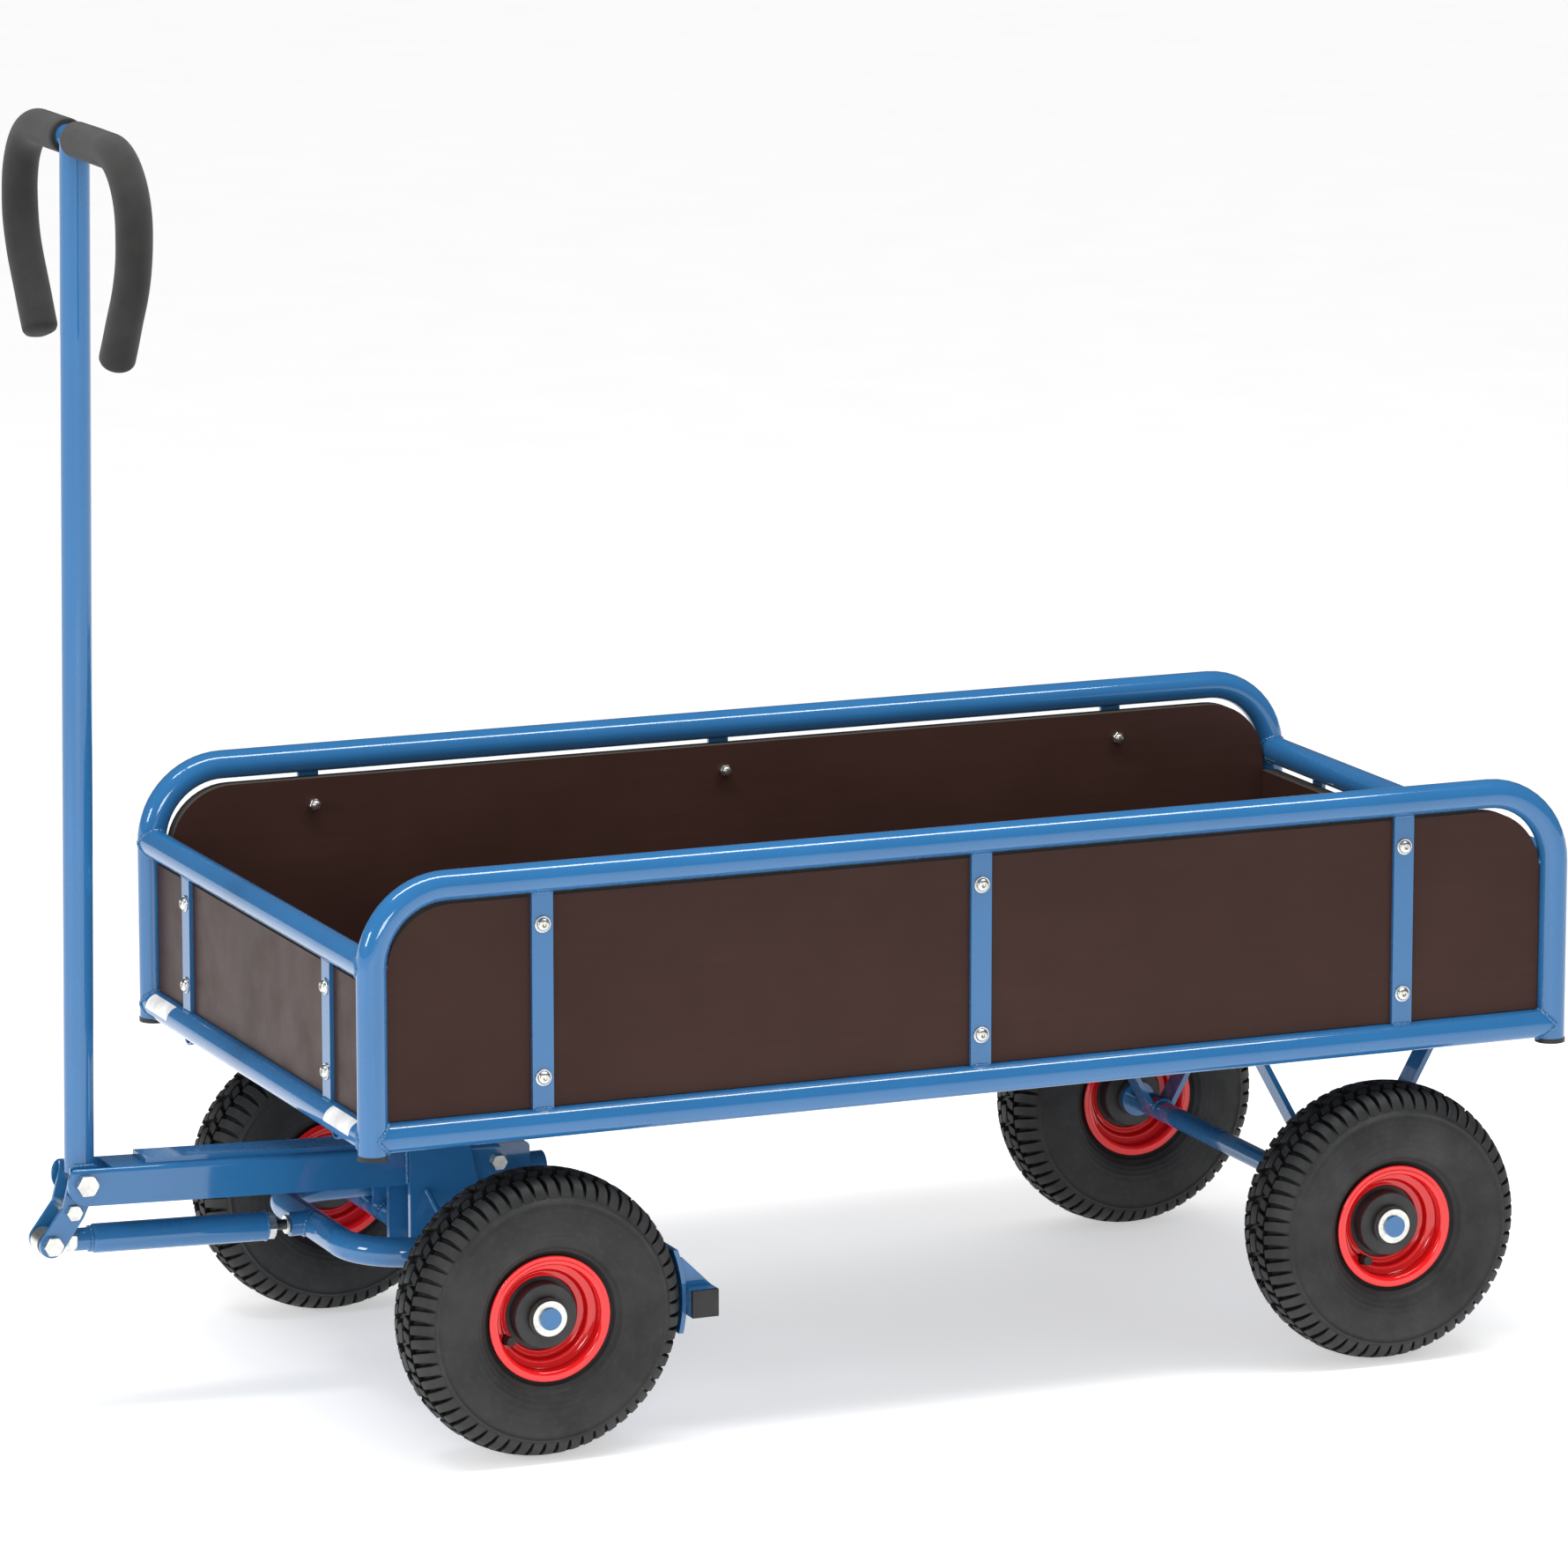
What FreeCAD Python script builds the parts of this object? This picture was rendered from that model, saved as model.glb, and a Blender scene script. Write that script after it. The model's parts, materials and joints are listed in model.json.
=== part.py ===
"""Four-wheeled garden cart: tubular tray with panelled sides, turntable steering
and a handle that applies a brake to the front tyres when it stands upright."""
import FreeCAD
import Part
import math
import os

V = FreeCAD.Vector

# ---- driving dimensions, millimetres; +X forward, +Y left, +Z up --------------------------
tube_radius = 13.45
tube_wall = 2.0
post_x = 580.6
post_y = 293.6
post_bottom_z = 291.8
lower_rail_z = 305.6
side_rail_z = 526.6
end_rail_z = 458.4
corner_bend_radius = 69.0
cap_height = 4.0

panel_thickness = 15.0
panel_bottom_z = 319.6
side_panel_top_z = 509.5
end_panel_top_z = 440.0
side_panel_corner_radius = 60.0
floor_thickness = 12.0
bar_width = 20.0
bar_thickness = 4.0
bolt_radius = 3.0
bolt_hole_radius = 3.3
left_bar_x = (422.0, 0.0, -424.0)
right_bar_x = (425.0, 8.0, -407.0)
end_bar_y = (188.0, -188.0)
side_bolt_z = (347.3, 485.0)
end_bolt_z = (344.0, 421.0)

bearer_y = 198.0
bearer_z = 298.0
floor_clearance = 0.15
floor_bottom_z = bearer_z + tube_radius + floor_clearance
floor_screw_y = 150.0
cross_size = 25.0
cross_x = (453.0, 387.0, 0.0, -415.3)

wheel_radius = 130.0
wheel_width = 85.0
wheel_y = 274.0
front_axle_x = 420.0
rear_axle_x = -415.3
axle_radius = 10.0
axle_half_length = 308.0
collar_radius = 17.0
hub_half_length = 28.0
hub_bore_radius = 16.0
hub_radius = 29.5
web_foot_y = 8.0
barrel_outer = 50.8
barrel_inner = 48.4
valve_degrees = {"front_left": -28.0, "front_right": -28.0, "rear_left": -53.0, "rear_right": -53.0}
part_gap = 0.3
running_clearance = 0.06

pivot_x = 755.0
pivot_z = 220.0
stem_lean_deg = 0.75
stem_bottom_z = 227.0
stem_setback = 1.6
grip_top_z = 1157.0
grip_half_width = 159.0
grip_end_z = 979.0
foam_radius = 16.5
foam_overhang = 9.0
grip_bar_radius = 11.0
grip_bends = (64.0, 110.0)
grip_shoulder_z = 1090.0
grip_side_turn_deg = 32.0
bare_bar_far = -20.0
bare_bar_near = 5.0

drawbar_rise_deg = 2.0
drawbar_half_width = 25.0
drawbar_sheet = 3.0
drawbar_top = 14.5
drawbar_bottom = -20.0
drawbar_length = 403.0
lever_inner_y = 13.5
lever_sheet = 3.5
strut_pin = (785.0, 164.8)
lever_bolt = (764.5, 193.4)

bow_z = 155.0
bow_front_x = 530.0
bow_leg_y = 130.0
bow_bend_radius = 60.0
lug_z = 157.5
lug_radius = 11.0
lug_face_x = bow_front_x + tube_radius + 11.0
brake_bar_x = 272.3
brake_bar_z = 129.0
brake_bar_size = 25.0
brake_bar_half_length = 304.0
guide_bolt_x = 360.0
guide_bolt_z = 203.0
brake_travel = 62.9

turntable_radius = 85.0
lower_plate_z = 267.7
plate_thickness = 6.0
ring_bottom_z = lower_plate_z + plate_thickness + part_gap
ring_height = 6.0
top_plate_z = ring_bottom_z + ring_height
kingpin_radius = 8.0

# The row origin sits midway between the rear post caps and the eye at the brake lever's tip.
lever_tip_radius = 11.5
rod_eye_radius = 12.0
cap_radius = tube_radius + 0.6
rearmost_x = -(post_x + cap_radius)
foremost_x = strut_pin[0] + rod_eye_radius
origin_x = (rearmost_x + foremost_x) / 2


# ---- basic shapes -------------------------------------------------------------------------
def rod(start, end, radius):
    axis = end - start
    return Part.makeCylinder(radius, axis.Length, start, axis)


def pipe(start, end, radius, wall):
    return rod(start, end, radius).cut(rod(start, end, radius - wall))


def block(x_low, x_high, y_low, y_high, z_low, z_high):
    size = (x_high - x_low, y_high - y_low, z_high - z_low)
    return Part.makeBox(*size, V(x_low, y_low, z_low))


def joined(shapes):
    body = shapes[0]
    if len(shapes) > 1:
        body = body.multiFuse(shapes[1:])
    return body.removeSplitter()


def bent_rod(points, bend_radii, radius):
    """Round bar through the points, with an arc of the given radius at each inner point."""
    pieces = []
    start = points[0]
    for index in range(1, len(points) - 1):
        corner = points[index]
        incoming = (corner - points[index - 1]).normalize()
        outgoing = (points[index + 1] - corner).normalize()
        turn = incoming.getAngle(outgoing)
        bend = bend_radii[index - 1]
        setback = bend * math.tan(turn / 2)
        arc_start = corner - incoming * setback
        normal = incoming.cross(outgoing).normalize()
        centre = arc_start + normal.cross(incoming) * bend
        section = Part.Face(Part.Wire(Part.Circle(arc_start, incoming, radius).toShape()))
        pieces.append(rod(start, arc_start, radius))
        pieces.append(section.revolve(centre, normal, math.degrees(turn)))
        start = corner + outgoing * setback
    pieces.append(rod(start, points[-1], radius))
    return joined(pieces)


def bent_pipe(points, bend_radii, radius, wall):
    return bent_rod(points, bend_radii, radius).cut(bent_rod(points, bend_radii, radius - wall))


def hexagon(base, axis, across_flats, height):
    """Hexagonal prism on the base point along the axis, with its corners turned down."""
    corner_radius = across_flats / math.sqrt(3)
    corners = [V(corner_radius * math.cos(math.radians(60 * i)),
                 corner_radius * math.sin(math.radians(60 * i)), 0) for i in range(7)]
    prism = Part.Face(Part.makePolygon(corners)).extrude(V(0, 0, height))
    cone_height = 6 * height
    turned = Part.makeCone(corner_radius + 0.9 * cone_height, corner_radius * 0.93,
                           cone_height, V(0, 0, height - cone_height))
    prism = prism.common(turned)
    prism.Placement = FreeCAD.Placement(base, FreeCAD.Rotation(V(0, 0, 1), axis))
    return prism


def dome(base, axis, radius, height):
    """Low button head: the cap of a sphere."""
    sphere_radius = (radius ** 2 + height ** 2) / (2 * height)
    centre = V(0, 0, height - sphere_radius)
    cap = Part.makeSphere(sphere_radius, centre).common(
        Part.makeCylinder(radius, height, V(0, 0, 0)))
    cap.Placement = FreeCAD.Placement(base, FreeCAD.Rotation(V(0, 0, 1), axis))
    return cap


def turned(outline, centre):
    """Solid of revolution about the Y axis line through the centre; outline is (radius, y) wire."""
    face = Part.Face(outline)
    solid = face.revolve(V(0, 0, 0), V(0, 1, 0), 360)
    solid.translate(centre)
    return solid


def section_wire(steps):
    """Closed wire in the XY plane (x is the radius) from points, and arcs given as (via, end)."""
    edges = []
    first = V(steps[0][0], steps[0][1], 0)
    last = first
    for step in steps[1:]:
        if isinstance(step[0], tuple):
            via = V(step[0][0], step[0][1], 0)
            end = V(step[1][0], step[1][1], 0)
            edges.append(Part.Arc(last, via, end).toShape())
        else:
            end = V(step[0], step[1], 0)
            edges.append(Part.LineSegment(last, end).toShape())
        last = end
    if last.distanceToPoint(first) > 1e-6:
        edges.append(Part.LineSegment(last, first).toShape())
    return Part.Wire(edges)


def link_plate(first, first_radius, second, second_radius, y_low, y_high):
    """Flat link in the XZ plane: the tangent outline round two bosses."""
    span = math.hypot(second[0] - first[0], second[1] - first[1])
    heading = math.atan2(second[1] - first[1], second[0] - first[0])
    lean = math.acos((first_radius - second_radius) / span)

    def at(centre, radius, angle):
        return V(centre[0] + radius * math.cos(angle), y_low, centre[1] + radius * math.sin(angle))

    edges = [
        Part.Arc(at(first, first_radius, heading + lean), at(first, first_radius, heading + math.pi),
                 at(first, first_radius, heading - lean)).toShape(),
        Part.LineSegment(at(first, first_radius, heading - lean),
                         at(second, second_radius, heading - lean)).toShape(),
        Part.Arc(at(second, second_radius, heading - lean), at(second, second_radius, heading),
                 at(second, second_radius, heading + lean)).toShape(),
        Part.LineSegment(at(second, second_radius, heading + lean),
                         at(first, first_radius, heading + lean)).toShape(),
    ]
    return Part.Face(Part.Wire(edges)).extrude(V(0, y_high - y_low, 0))


def save(name, solids):
    """Moves the solids into the row frame and writes them as one node."""
    shape = solids[0] if len(solids) == 1 else Part.makeCompound(solids)
    shape = shape.copy()
    shape.translate(V(-origin_x, 0, 0))
    shape.exportStep("parts/" + name + ".step")


# ---- tray frame ---------------------------------------------------------------------------
def side_frame_bar(side, radius):
    """Solid bar of the given radius along one side frame: post, top rail and post."""
    y = side * post_y
    points = [V(post_x, y, post_bottom_z), V(post_x, y, side_rail_z),
              V(-post_x, y, side_rail_z), V(-post_x, y, post_bottom_z)]
    return bent_rod(points, [corner_bend_radius, corner_bend_radius], radius)


def coped_pipe(start, end):
    """Straight rail whose ends are cut to saddle the side frames."""
    rail = pipe(start, end, tube_radius, tube_wall)
    for side in (1, -1):
        rail = rail.cut(side_frame_bar(side, tube_radius))
    return max(rail.Solids, key=lambda solid: solid.Volume)


def side_frame(side):
    return side_frame_bar(side, tube_radius).cut(side_frame_bar(side, tube_radius - tube_wall))


def lower_frame():
    rails = []
    for side in (1, -1):
        y = side * post_y
        rails.append(coped_pipe(V(-post_x, y, lower_rail_z), V(post_x, y, lower_rail_z)))
    for end in (1, -1):
        x = end * post_x
        rails.append(coped_pipe(V(x, -post_y, lower_rail_z), V(x, post_y, lower_rail_z)))
    return rails


def end_top_rails():
    return [coped_pipe(V(end * post_x, -post_y, end_rail_z), V(end * post_x, post_y, end_rail_z))
            for end in (1, -1)]


def post_caps():
    """Plastic plugs: a round head under each post and a spigot inside its bore."""
    caps = []
    bore = tube_radius - tube_wall
    for x in (post_x, -post_x):
        for y in (post_y, -post_y):
            head = rod(V(x, y, post_bottom_z - cap_height), V(x, y, post_bottom_z), cap_radius)
            spigot = rod(V(x, y, post_bottom_z), V(x, y, post_bottom_z + 12), bore - 0.1)
            caps.append(joined([head, spigot]))
    return caps


def rail_tops():
    """Round bars where the rails run, used to cut the flat bars to length."""
    rails = []
    for side in (1, -1):
        for z in (lower_rail_z, side_rail_z):
            rails.append(rod(V(-post_x, side * post_y, z), V(post_x, side * post_y, z), tube_radius))
    for end in (1, -1):
        for z in (lower_rail_z, end_rail_z):
            rails.append(rod(V(end * post_x, -post_y, z), V(end * post_x, post_y, z), tube_radius))
    return rails


def bolt_holes():
    """Clearance holes through the flat bars and the panels."""
    holes = []
    for side, bar_places in ((1, left_bar_x), (-1, right_bar_x)):
        for x in bar_places:
            for z in side_bolt_z:
                holes.append(rod(V(x, side * (post_y - 40), z), V(x, side * (post_y + 20), z),
                                 bolt_hole_radius))
    for end in (1, -1):
        for y in end_bar_y:
            for z in end_bolt_z:
                holes.append(rod(V(end * (post_x - 40), y, z), V(end * (post_x + 20), y, z),
                             bolt_hole_radius))
    return holes


def panel_bars():
    bars = []
    half = bar_width / 2
    for side, bar_places in ((1, left_bar_x), (-1, right_bar_x)):
        faces = sorted((side * post_y, side * (post_y + bar_thickness)))
        for x in bar_places:
            bars.append(block(x - half, x + half, faces[0], faces[1], lower_rail_z, side_rail_z))
    for end in (1, -1):
        faces = sorted((end * post_x, end * (post_x + bar_thickness)))
        for y in end_bar_y:
            bars.append(block(faces[0], faces[1], y - half, y + half, lower_rail_z, end_rail_z))
    cutters = rail_tops() + bolt_holes()
    return [bar.cut(cutters) for bar in bars]


def side_panel(side):
    """Panel between the posts, with its top corners rounded inside the frame's bends."""
    half_length = post_x - tube_radius - 0.65
    inner = side * (post_y - panel_thickness)
    top = side_panel_top_z
    corner = side_panel_corner_radius
    reach = corner * (1 - math.sqrt(0.5))
    x_in = half_length - corner
    edges = [
        Part.LineSegment(V(-half_length, inner, panel_bottom_z),
                         V(half_length, inner, panel_bottom_z)).toShape(),
        Part.LineSegment(V(half_length, inner, panel_bottom_z),
                         V(half_length, inner, top - corner)).toShape(),
        Part.Arc(V(half_length, inner, top - corner), V(half_length - reach, inner, top - reach),
                 V(x_in, inner, top)).toShape(),
        Part.LineSegment(V(x_in, inner, top), V(-x_in, inner, top)).toShape(),
        Part.Arc(V(-x_in, inner, top), V(-half_length + reach, inner, top - reach),
                 V(-half_length, inner, top - corner)).toShape(),
        Part.LineSegment(V(-half_length, inner, top - corner),
                         V(-half_length, inner, panel_bottom_z)).toShape(),
    ]
    slab = Part.Face(Part.Wire(edges)).extrude(V(0, side * panel_thickness, 0))
    return slab.cut(bolt_holes())


def end_panel(end):
    half_width = post_y - panel_thickness - 0.6
    faces = sorted((end * post_x, end * (post_x - panel_thickness)))
    slab = block(faces[0], faces[1], -half_width, half_width, panel_bottom_z, end_panel_top_z)
    return slab.cut(bolt_holes())


def floor_panel():
    half_length = post_x - panel_thickness - part_gap
    half_width = post_y - panel_thickness - part_gap
    slab = block(-half_length, half_length, -half_width, half_width,
                 floor_bottom_z, floor_bottom_z + floor_thickness)
    return slab.cut(floor_screw_rods(bolt_radius + 0.1, 0))


def floor_screw_rods(radius, below):
    """Vertical bars at the floor screws, two over every cross member."""
    rods = []
    top = floor_bottom_z + floor_thickness
    bottom = floor_bottom_z - floor_clearance - below
    for x in cross_x:
        for y in (floor_screw_y, -floor_screw_y):
            rods.append(rod(V(x, y, bottom), V(x, y, top), radius))
    return rods


def panel_fasteners():
    """Button-head bolts with washers outside, dome nuts inside, and the floor screws."""
    fasteners = []
    places = []
    for side, bar_places in ((1, left_bar_x), (-1, right_bar_x)):
        for x in bar_places:
            for z in side_bolt_z:
                places.append((V(x, side * (post_y + bar_thickness), z), V(0, side, 0)))
    for end in (1, -1):
        for y in end_bar_y:
            for z in end_bolt_z:
                places.append((V(end * (post_x + bar_thickness), y, z), V(end, 0, 0)))
    grip_length = bar_thickness + panel_thickness
    washer_height = 1.4
    nut_height = 5.0
    for seat, outward in places:
        washer = rod(seat, seat + outward * washer_height, 7.5)
        head = dome(seat + outward * washer_height, outward, 6.2, 3.6)
        shank = rod(seat - outward * (grip_length + nut_height), seat + outward * washer_height, bolt_radius)
        fasteners.append(joined([washer, head, shank]))
        inside = seat - outward * grip_length
        nut_base = hexagon(inside, outward * -1, 10.0, nut_height)
        nut_dome = dome(inside - outward * nut_height, outward * -1, 4.6, 4.0)
        thread = rod(inside, inside - outward * nut_height, bolt_radius)
        fasteners.append(joined([nut_base, nut_dome]).cut(thread))
    return fasteners + floor_screw_rods(bolt_radius, 4.0)


# ---- deck underframe and turntable --------------------------------------------------------
def deck_bearers():
    """Two long tubes under the floor, cut to saddle the end rails."""
    bearers = []
    for side in (1, -1):
        y = side * bearer_y
        bearer = pipe(V(-post_x, y, bearer_z), V(post_x, y, bearer_z), tube_radius, tube_wall)
        for end in (1, -1):
            x = end * post_x
            bearer = bearer.cut(rod(V(x, -post_y, lower_rail_z), V(x, post_y, lower_rail_z), tube_radius))
        longest = max(bearer.Solids, key=lambda solid: solid.Volume)
        bearers.append(longest)
    return bearers


def cross_members():
    members = []
    half = cross_size / 2
    bottom = top_plate_z + plate_thickness
    for x in cross_x:
        outer = block(x - half, x + half, -bearer_y, bearer_y, bottom, bottom + cross_size)
        inner = block(x - half + 2, x + half - 2, -bearer_y, bearer_y,
                      bottom + 2, bottom + cross_size - 2)
        member = outer.cut(inner)
        for side in (1, -1):
            y = side * bearer_y
            member = member.cut(rod(V(-post_x, y, bearer_z), V(post_x, y, bearer_z), tube_radius))
        member = member.cut(floor_screw_rods(bolt_radius + 0.1, 4.0))
        members.append(max(member.Solids, key=lambda solid: solid.Volume))
    return members


def disc(radius, bottom, height, hole_radius):
    base = V(front_axle_x, 0, bottom)
    plate = Part.makeCylinder(radius, height, base)
    return plate.cut(Part.makeCylinder(hole_radius, height, base))


def turntable_top_plate():
    return disc(turntable_radius, top_plate_z, plate_thickness, kingpin_radius + 0.02)


def turntable_ring():
    """Plastic slide ring carried under the top plate."""
    return disc(turntable_radius - 4, ring_bottom_z, ring_height, 45.0)


def turntable_lower_plate():
    return disc(turntable_radius, lower_plate_z, plate_thickness, kingpin_radius + running_clearance)


def kingpin():
    """Bolt down through the turntable, with its lock nut below the lower plate."""
    flats = 24.0
    top = V(front_axle_x, 0, top_plate_z + plate_thickness)
    bottom = V(front_axle_x, 0, lower_plate_z - 20)
    head = hexagon(top, V(0, 0, 1), flats, 10.0)
    nut = hexagon(V(front_axle_x, 0, lower_plate_z - part_gap), V(0, 0, -1), flats, 14.0)
    shank = rod(bottom, top, kingpin_radius)
    return [joined([head, shank]), nut.cut(shank)]


# ---- axles and wheels ---------------------------------------------------------------------
def axle(x):
    """Plain axle bar with a thrust collar inside each wheel."""
    bar = rod(V(x, -axle_half_length, wheel_radius), V(x, axle_half_length, wheel_radius), axle_radius)
    collar_width = 6.0
    face_y = wheel_y - hub_half_length - part_gap
    collars = []
    for side in (1, -1):
        inner = V(x, side * (face_y - collar_width), wheel_radius)
        outer = V(x, side * face_y, wheel_radius)
        collars.append(rod(inner, outer, collar_radius))
    return joined([bar] + collars)


def axle_washers(x):
    """Retaining rings pressed on the axle outside each wheel."""
    ring_radius = 16.0
    ring_width = 3.2
    face_y = wheel_y + hub_half_length + part_gap
    rings = []
    for side in (1, -1):
        inner = V(x, side * face_y, wheel_radius)
        outer = V(x, side * (face_y + ring_width), wheel_radius)
        rings.append(rod(inner, outer, ring_radius).cut(rod(inner, outer, axle_radius)))
    return rings


def axle_bearings(x):
    """Two roller bearing sleeves on the axle inside each hub."""
    sleeve_radius = hub_bore_radius - running_clearance
    sleeve_width = 18.0
    sleeves = []
    for side in (1, -1):
        for low in (wheel_y - hub_half_length + 1.0, wheel_y + hub_half_length - 1.0 - sleeve_width):
            inner = V(x, side * low, wheel_radius)
            outer = V(x, side * (low + sleeve_width), wheel_radius)
            sleeves.append(rod(inner, outer, sleeve_radius).cut(rod(inner, outer, axle_radius)))
    return sleeves


def rear_struts():
    """Two flat bars in a V at each side, from the deck bearers down to the rear axle."""
    struts = []
    half_width = 12.5
    thickness = 5.0
    top_z = bearer_z
    foot_z = wheel_radius
    for side in (1, -1):
        y = side * bearer_y
        saddle = rod(V(-post_x, y, bearer_z), V(post_x, y, bearer_z), tube_radius)
        axle_bar = rod(V(rear_axle_x, -post_y, wheel_radius), V(rear_axle_x, post_y, wheel_radius),
                       axle_radius)
        for end in (1, -1):
            foot = V(rear_axle_x + end * 7.5, y, foot_z)
            top = V(rear_axle_x + end * 101.0, y, top_z)
            direction = (top - foot).normalize()
            across = V(0, 1, 0)
            normal = direction.cross(across)
            corner = foot - across * half_width - normal * (thickness / 2)
            edges = [corner, corner + across * (2 * half_width),
                     corner + across * (2 * half_width) + normal * thickness, corner + normal * thickness,
                     corner]
            bar = Part.Face(Part.makePolygon(edges)).extrude(top - foot)
            bar = bar.cut([saddle, axle_bar])
            struts.append(max(bar.Solids, key=lambda solid: solid.Volume))
    return struts


def tyre(centre):
    """Pneumatic casing: rounded sidewalls, a nearly flat crown, open inside down to its beads."""
    outline = section_wire([
        (51.0, 17.0), (51.0, 27.5), (58.5, 29.0),
        ((89.0, wheel_width / 2), (116.5, 36.0)),
        ((122.6, 31.6), (126.0, 24.0)),
        ((wheel_radius, 0.0), (126.0, -24.0)),
        ((122.6, -31.6), (116.5, -36.0)),
        ((89.0, -wheel_width / 2), (58.5, -29.0)),
        (51.0, -27.5), (51.0, -17.0), (58.0, -21.0),
        ((88.0, -35.5), (112.0, -27.0)),
        ((121.5, 0.0), (112.0, 27.0)),
        ((88.0, 35.5), (58.0, 21.0)),
    ])
    return turned(outline, centre)


def valve_line(side, degrees, tip_y):
    """Foot, knee and tip of the valve's centre line: out of the tube, then out of the rim's face."""
    turn = math.radians(degrees)
    heading = V(math.cos(turn), 0, math.sin(turn))
    foot = heading * 57.0
    knee = heading * 41.5 + V(0, side * 8.0, 0)
    tip = heading * 39.5 + V(0, side * tip_y, 0)
    return foot, knee, tip


def valve_rods(side, degrees, tip_y, radius):
    foot, knee, tip = valve_line(side, degrees, tip_y)
    return [rod(foot, knee, radius), Part.makeSphere(radius, knee), rod(knee, tip, radius)]


def inner_tube(centre, side, degrees):
    """Rubber tube filling the casing, with its capped valve out through the rim."""
    ring_radius = 86.5
    skin_radius = 32.5
    skin_thickness = 2.5
    outer = Part.makeTorus(ring_radius, skin_radius, V(0, 0, 0), V(0, 1, 0))
    inner = Part.makeTorus(ring_radius, skin_radius - skin_thickness, V(0, 0, 0), V(0, 1, 0))
    tip_y = 27.0
    cap_length = 9.0
    foot, knee, tip = valve_line(side, degrees, tip_y)
    cap = rod(tip - (tip - knee).normalize() * cap_length, tip, 4.2)
    body = joined([outer.cut(inner), cap] + valve_rods(side, degrees, tip_y, 3.2))
    body.translate(centre)
    return body


def rim_disc():
    """Stepped disc of one rim half, from its edge on the hub's flange out to the barrel."""
    return section_wire([
        (33.4, web_foot_y), ((33.7, 9.8), (35.2, 10.4)), (38.0, 11.0), ((39.7, 11.7), (40.4, 13.2)),
        (40.9, 15.4), ((41.7, 16.9), (43.2, 17.4)), (45.4, 18.0), ((48.2, 19.9), (49.2, 23.0)),
        (49.6, 25.0), (49.6, 18.6), ((48.2, 16.8), (46.4, 16.0)), (44.2, 15.2), ((43.2, 14.5), (42.8, 13.2)),
        (42.2, 11.0), ((40.9, 9.2), (38.8, 8.6)), (36.0, web_foot_y),
    ])


def rim_barrel():
    """Barrel under the tyre's beads, with a flange rolled out at each edge."""
    return section_wire([
        (barrel_inner, -29.0), (barrel_inner, 29.0), ((50.4, 31.6), (53.6, 31.8)), (56.0, 31.8),
        ((57.5, 30.6), (56.0, 29.6)), (53.0, 29.2), ((51.2, 28.2), (barrel_outer, 26.4)),
        (barrel_outer, -26.4), ((51.2, -28.2), (53.0, -29.2)), (56.0, -29.6),
        ((57.5, -30.6), (56.0, -31.8)), (53.6, -31.8), ((50.4, -31.6), (barrel_inner, -29.0)),
    ])


def rim(centre, side, degrees):
    """Pressed steel rim: flanged barrel and a stepped disc on each face, with a valve hole."""
    origin = V(0, 0, 0)
    disc_half = turned(rim_disc(), origin)
    disc_other = disc_half.mirror(origin, V(0, 1, 0))
    body = joined([turned(rim_barrel(), origin), disc_half, disc_other])
    body = body.cut(valve_rods(side, degrees, 36.0, 4.6))
    body.translate(centre)
    return max(body.Solids, key=lambda solid: solid.Volume)


def hub(centre):
    """Plastic hub with a middle flange that the rim halves clamp, and a boss at each end."""
    half = hub_half_length
    boss = 18.2
    face = 22.2
    body = turned(section_wire([
        (hub_bore_radius, -half), (hub_bore_radius, half), (boss - 0.6, half), (boss, half - 0.6),
        (boss, face), (hub_radius - 0.8, face), (hub_radius, face - 0.8), (hub_radius, web_foot_y),
        (37.0, web_foot_y), (37.0, -web_foot_y), (hub_radius, -web_foot_y),
        (hub_radius, 0.8 - face), (hub_radius - 0.8, -face), (boss, -face), (boss, 0.6 - half),
        (boss - 0.6, -half),
    ]), V(0, 0, 0))
    body.translate(centre)
    return body


def wheel(name, x, side):
    centre = V(x, side * wheel_y, wheel_radius)
    degrees = valve_degrees[name]
    save("tyre_" + name, [tyre(centre)])
    save("inner_tube_" + name, [inner_tube(centre, side, degrees)])
    save("rim_" + name, [rim(centre, side, degrees)])
    save("hub_" + name, [hub(centre)])


# ---- steered truck ------------------------------------------------------------------------
def in_drawbar_frame(shape):
    """Tips a shape drawn about the handle pivot to the drawbar's slight rise to the front."""
    shape.rotate(V(0, 0, 0), V(0, 1, 0), -drawbar_rise_deg)
    shape.translate(V(pivot_x, 0, pivot_z))
    return shape


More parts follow.
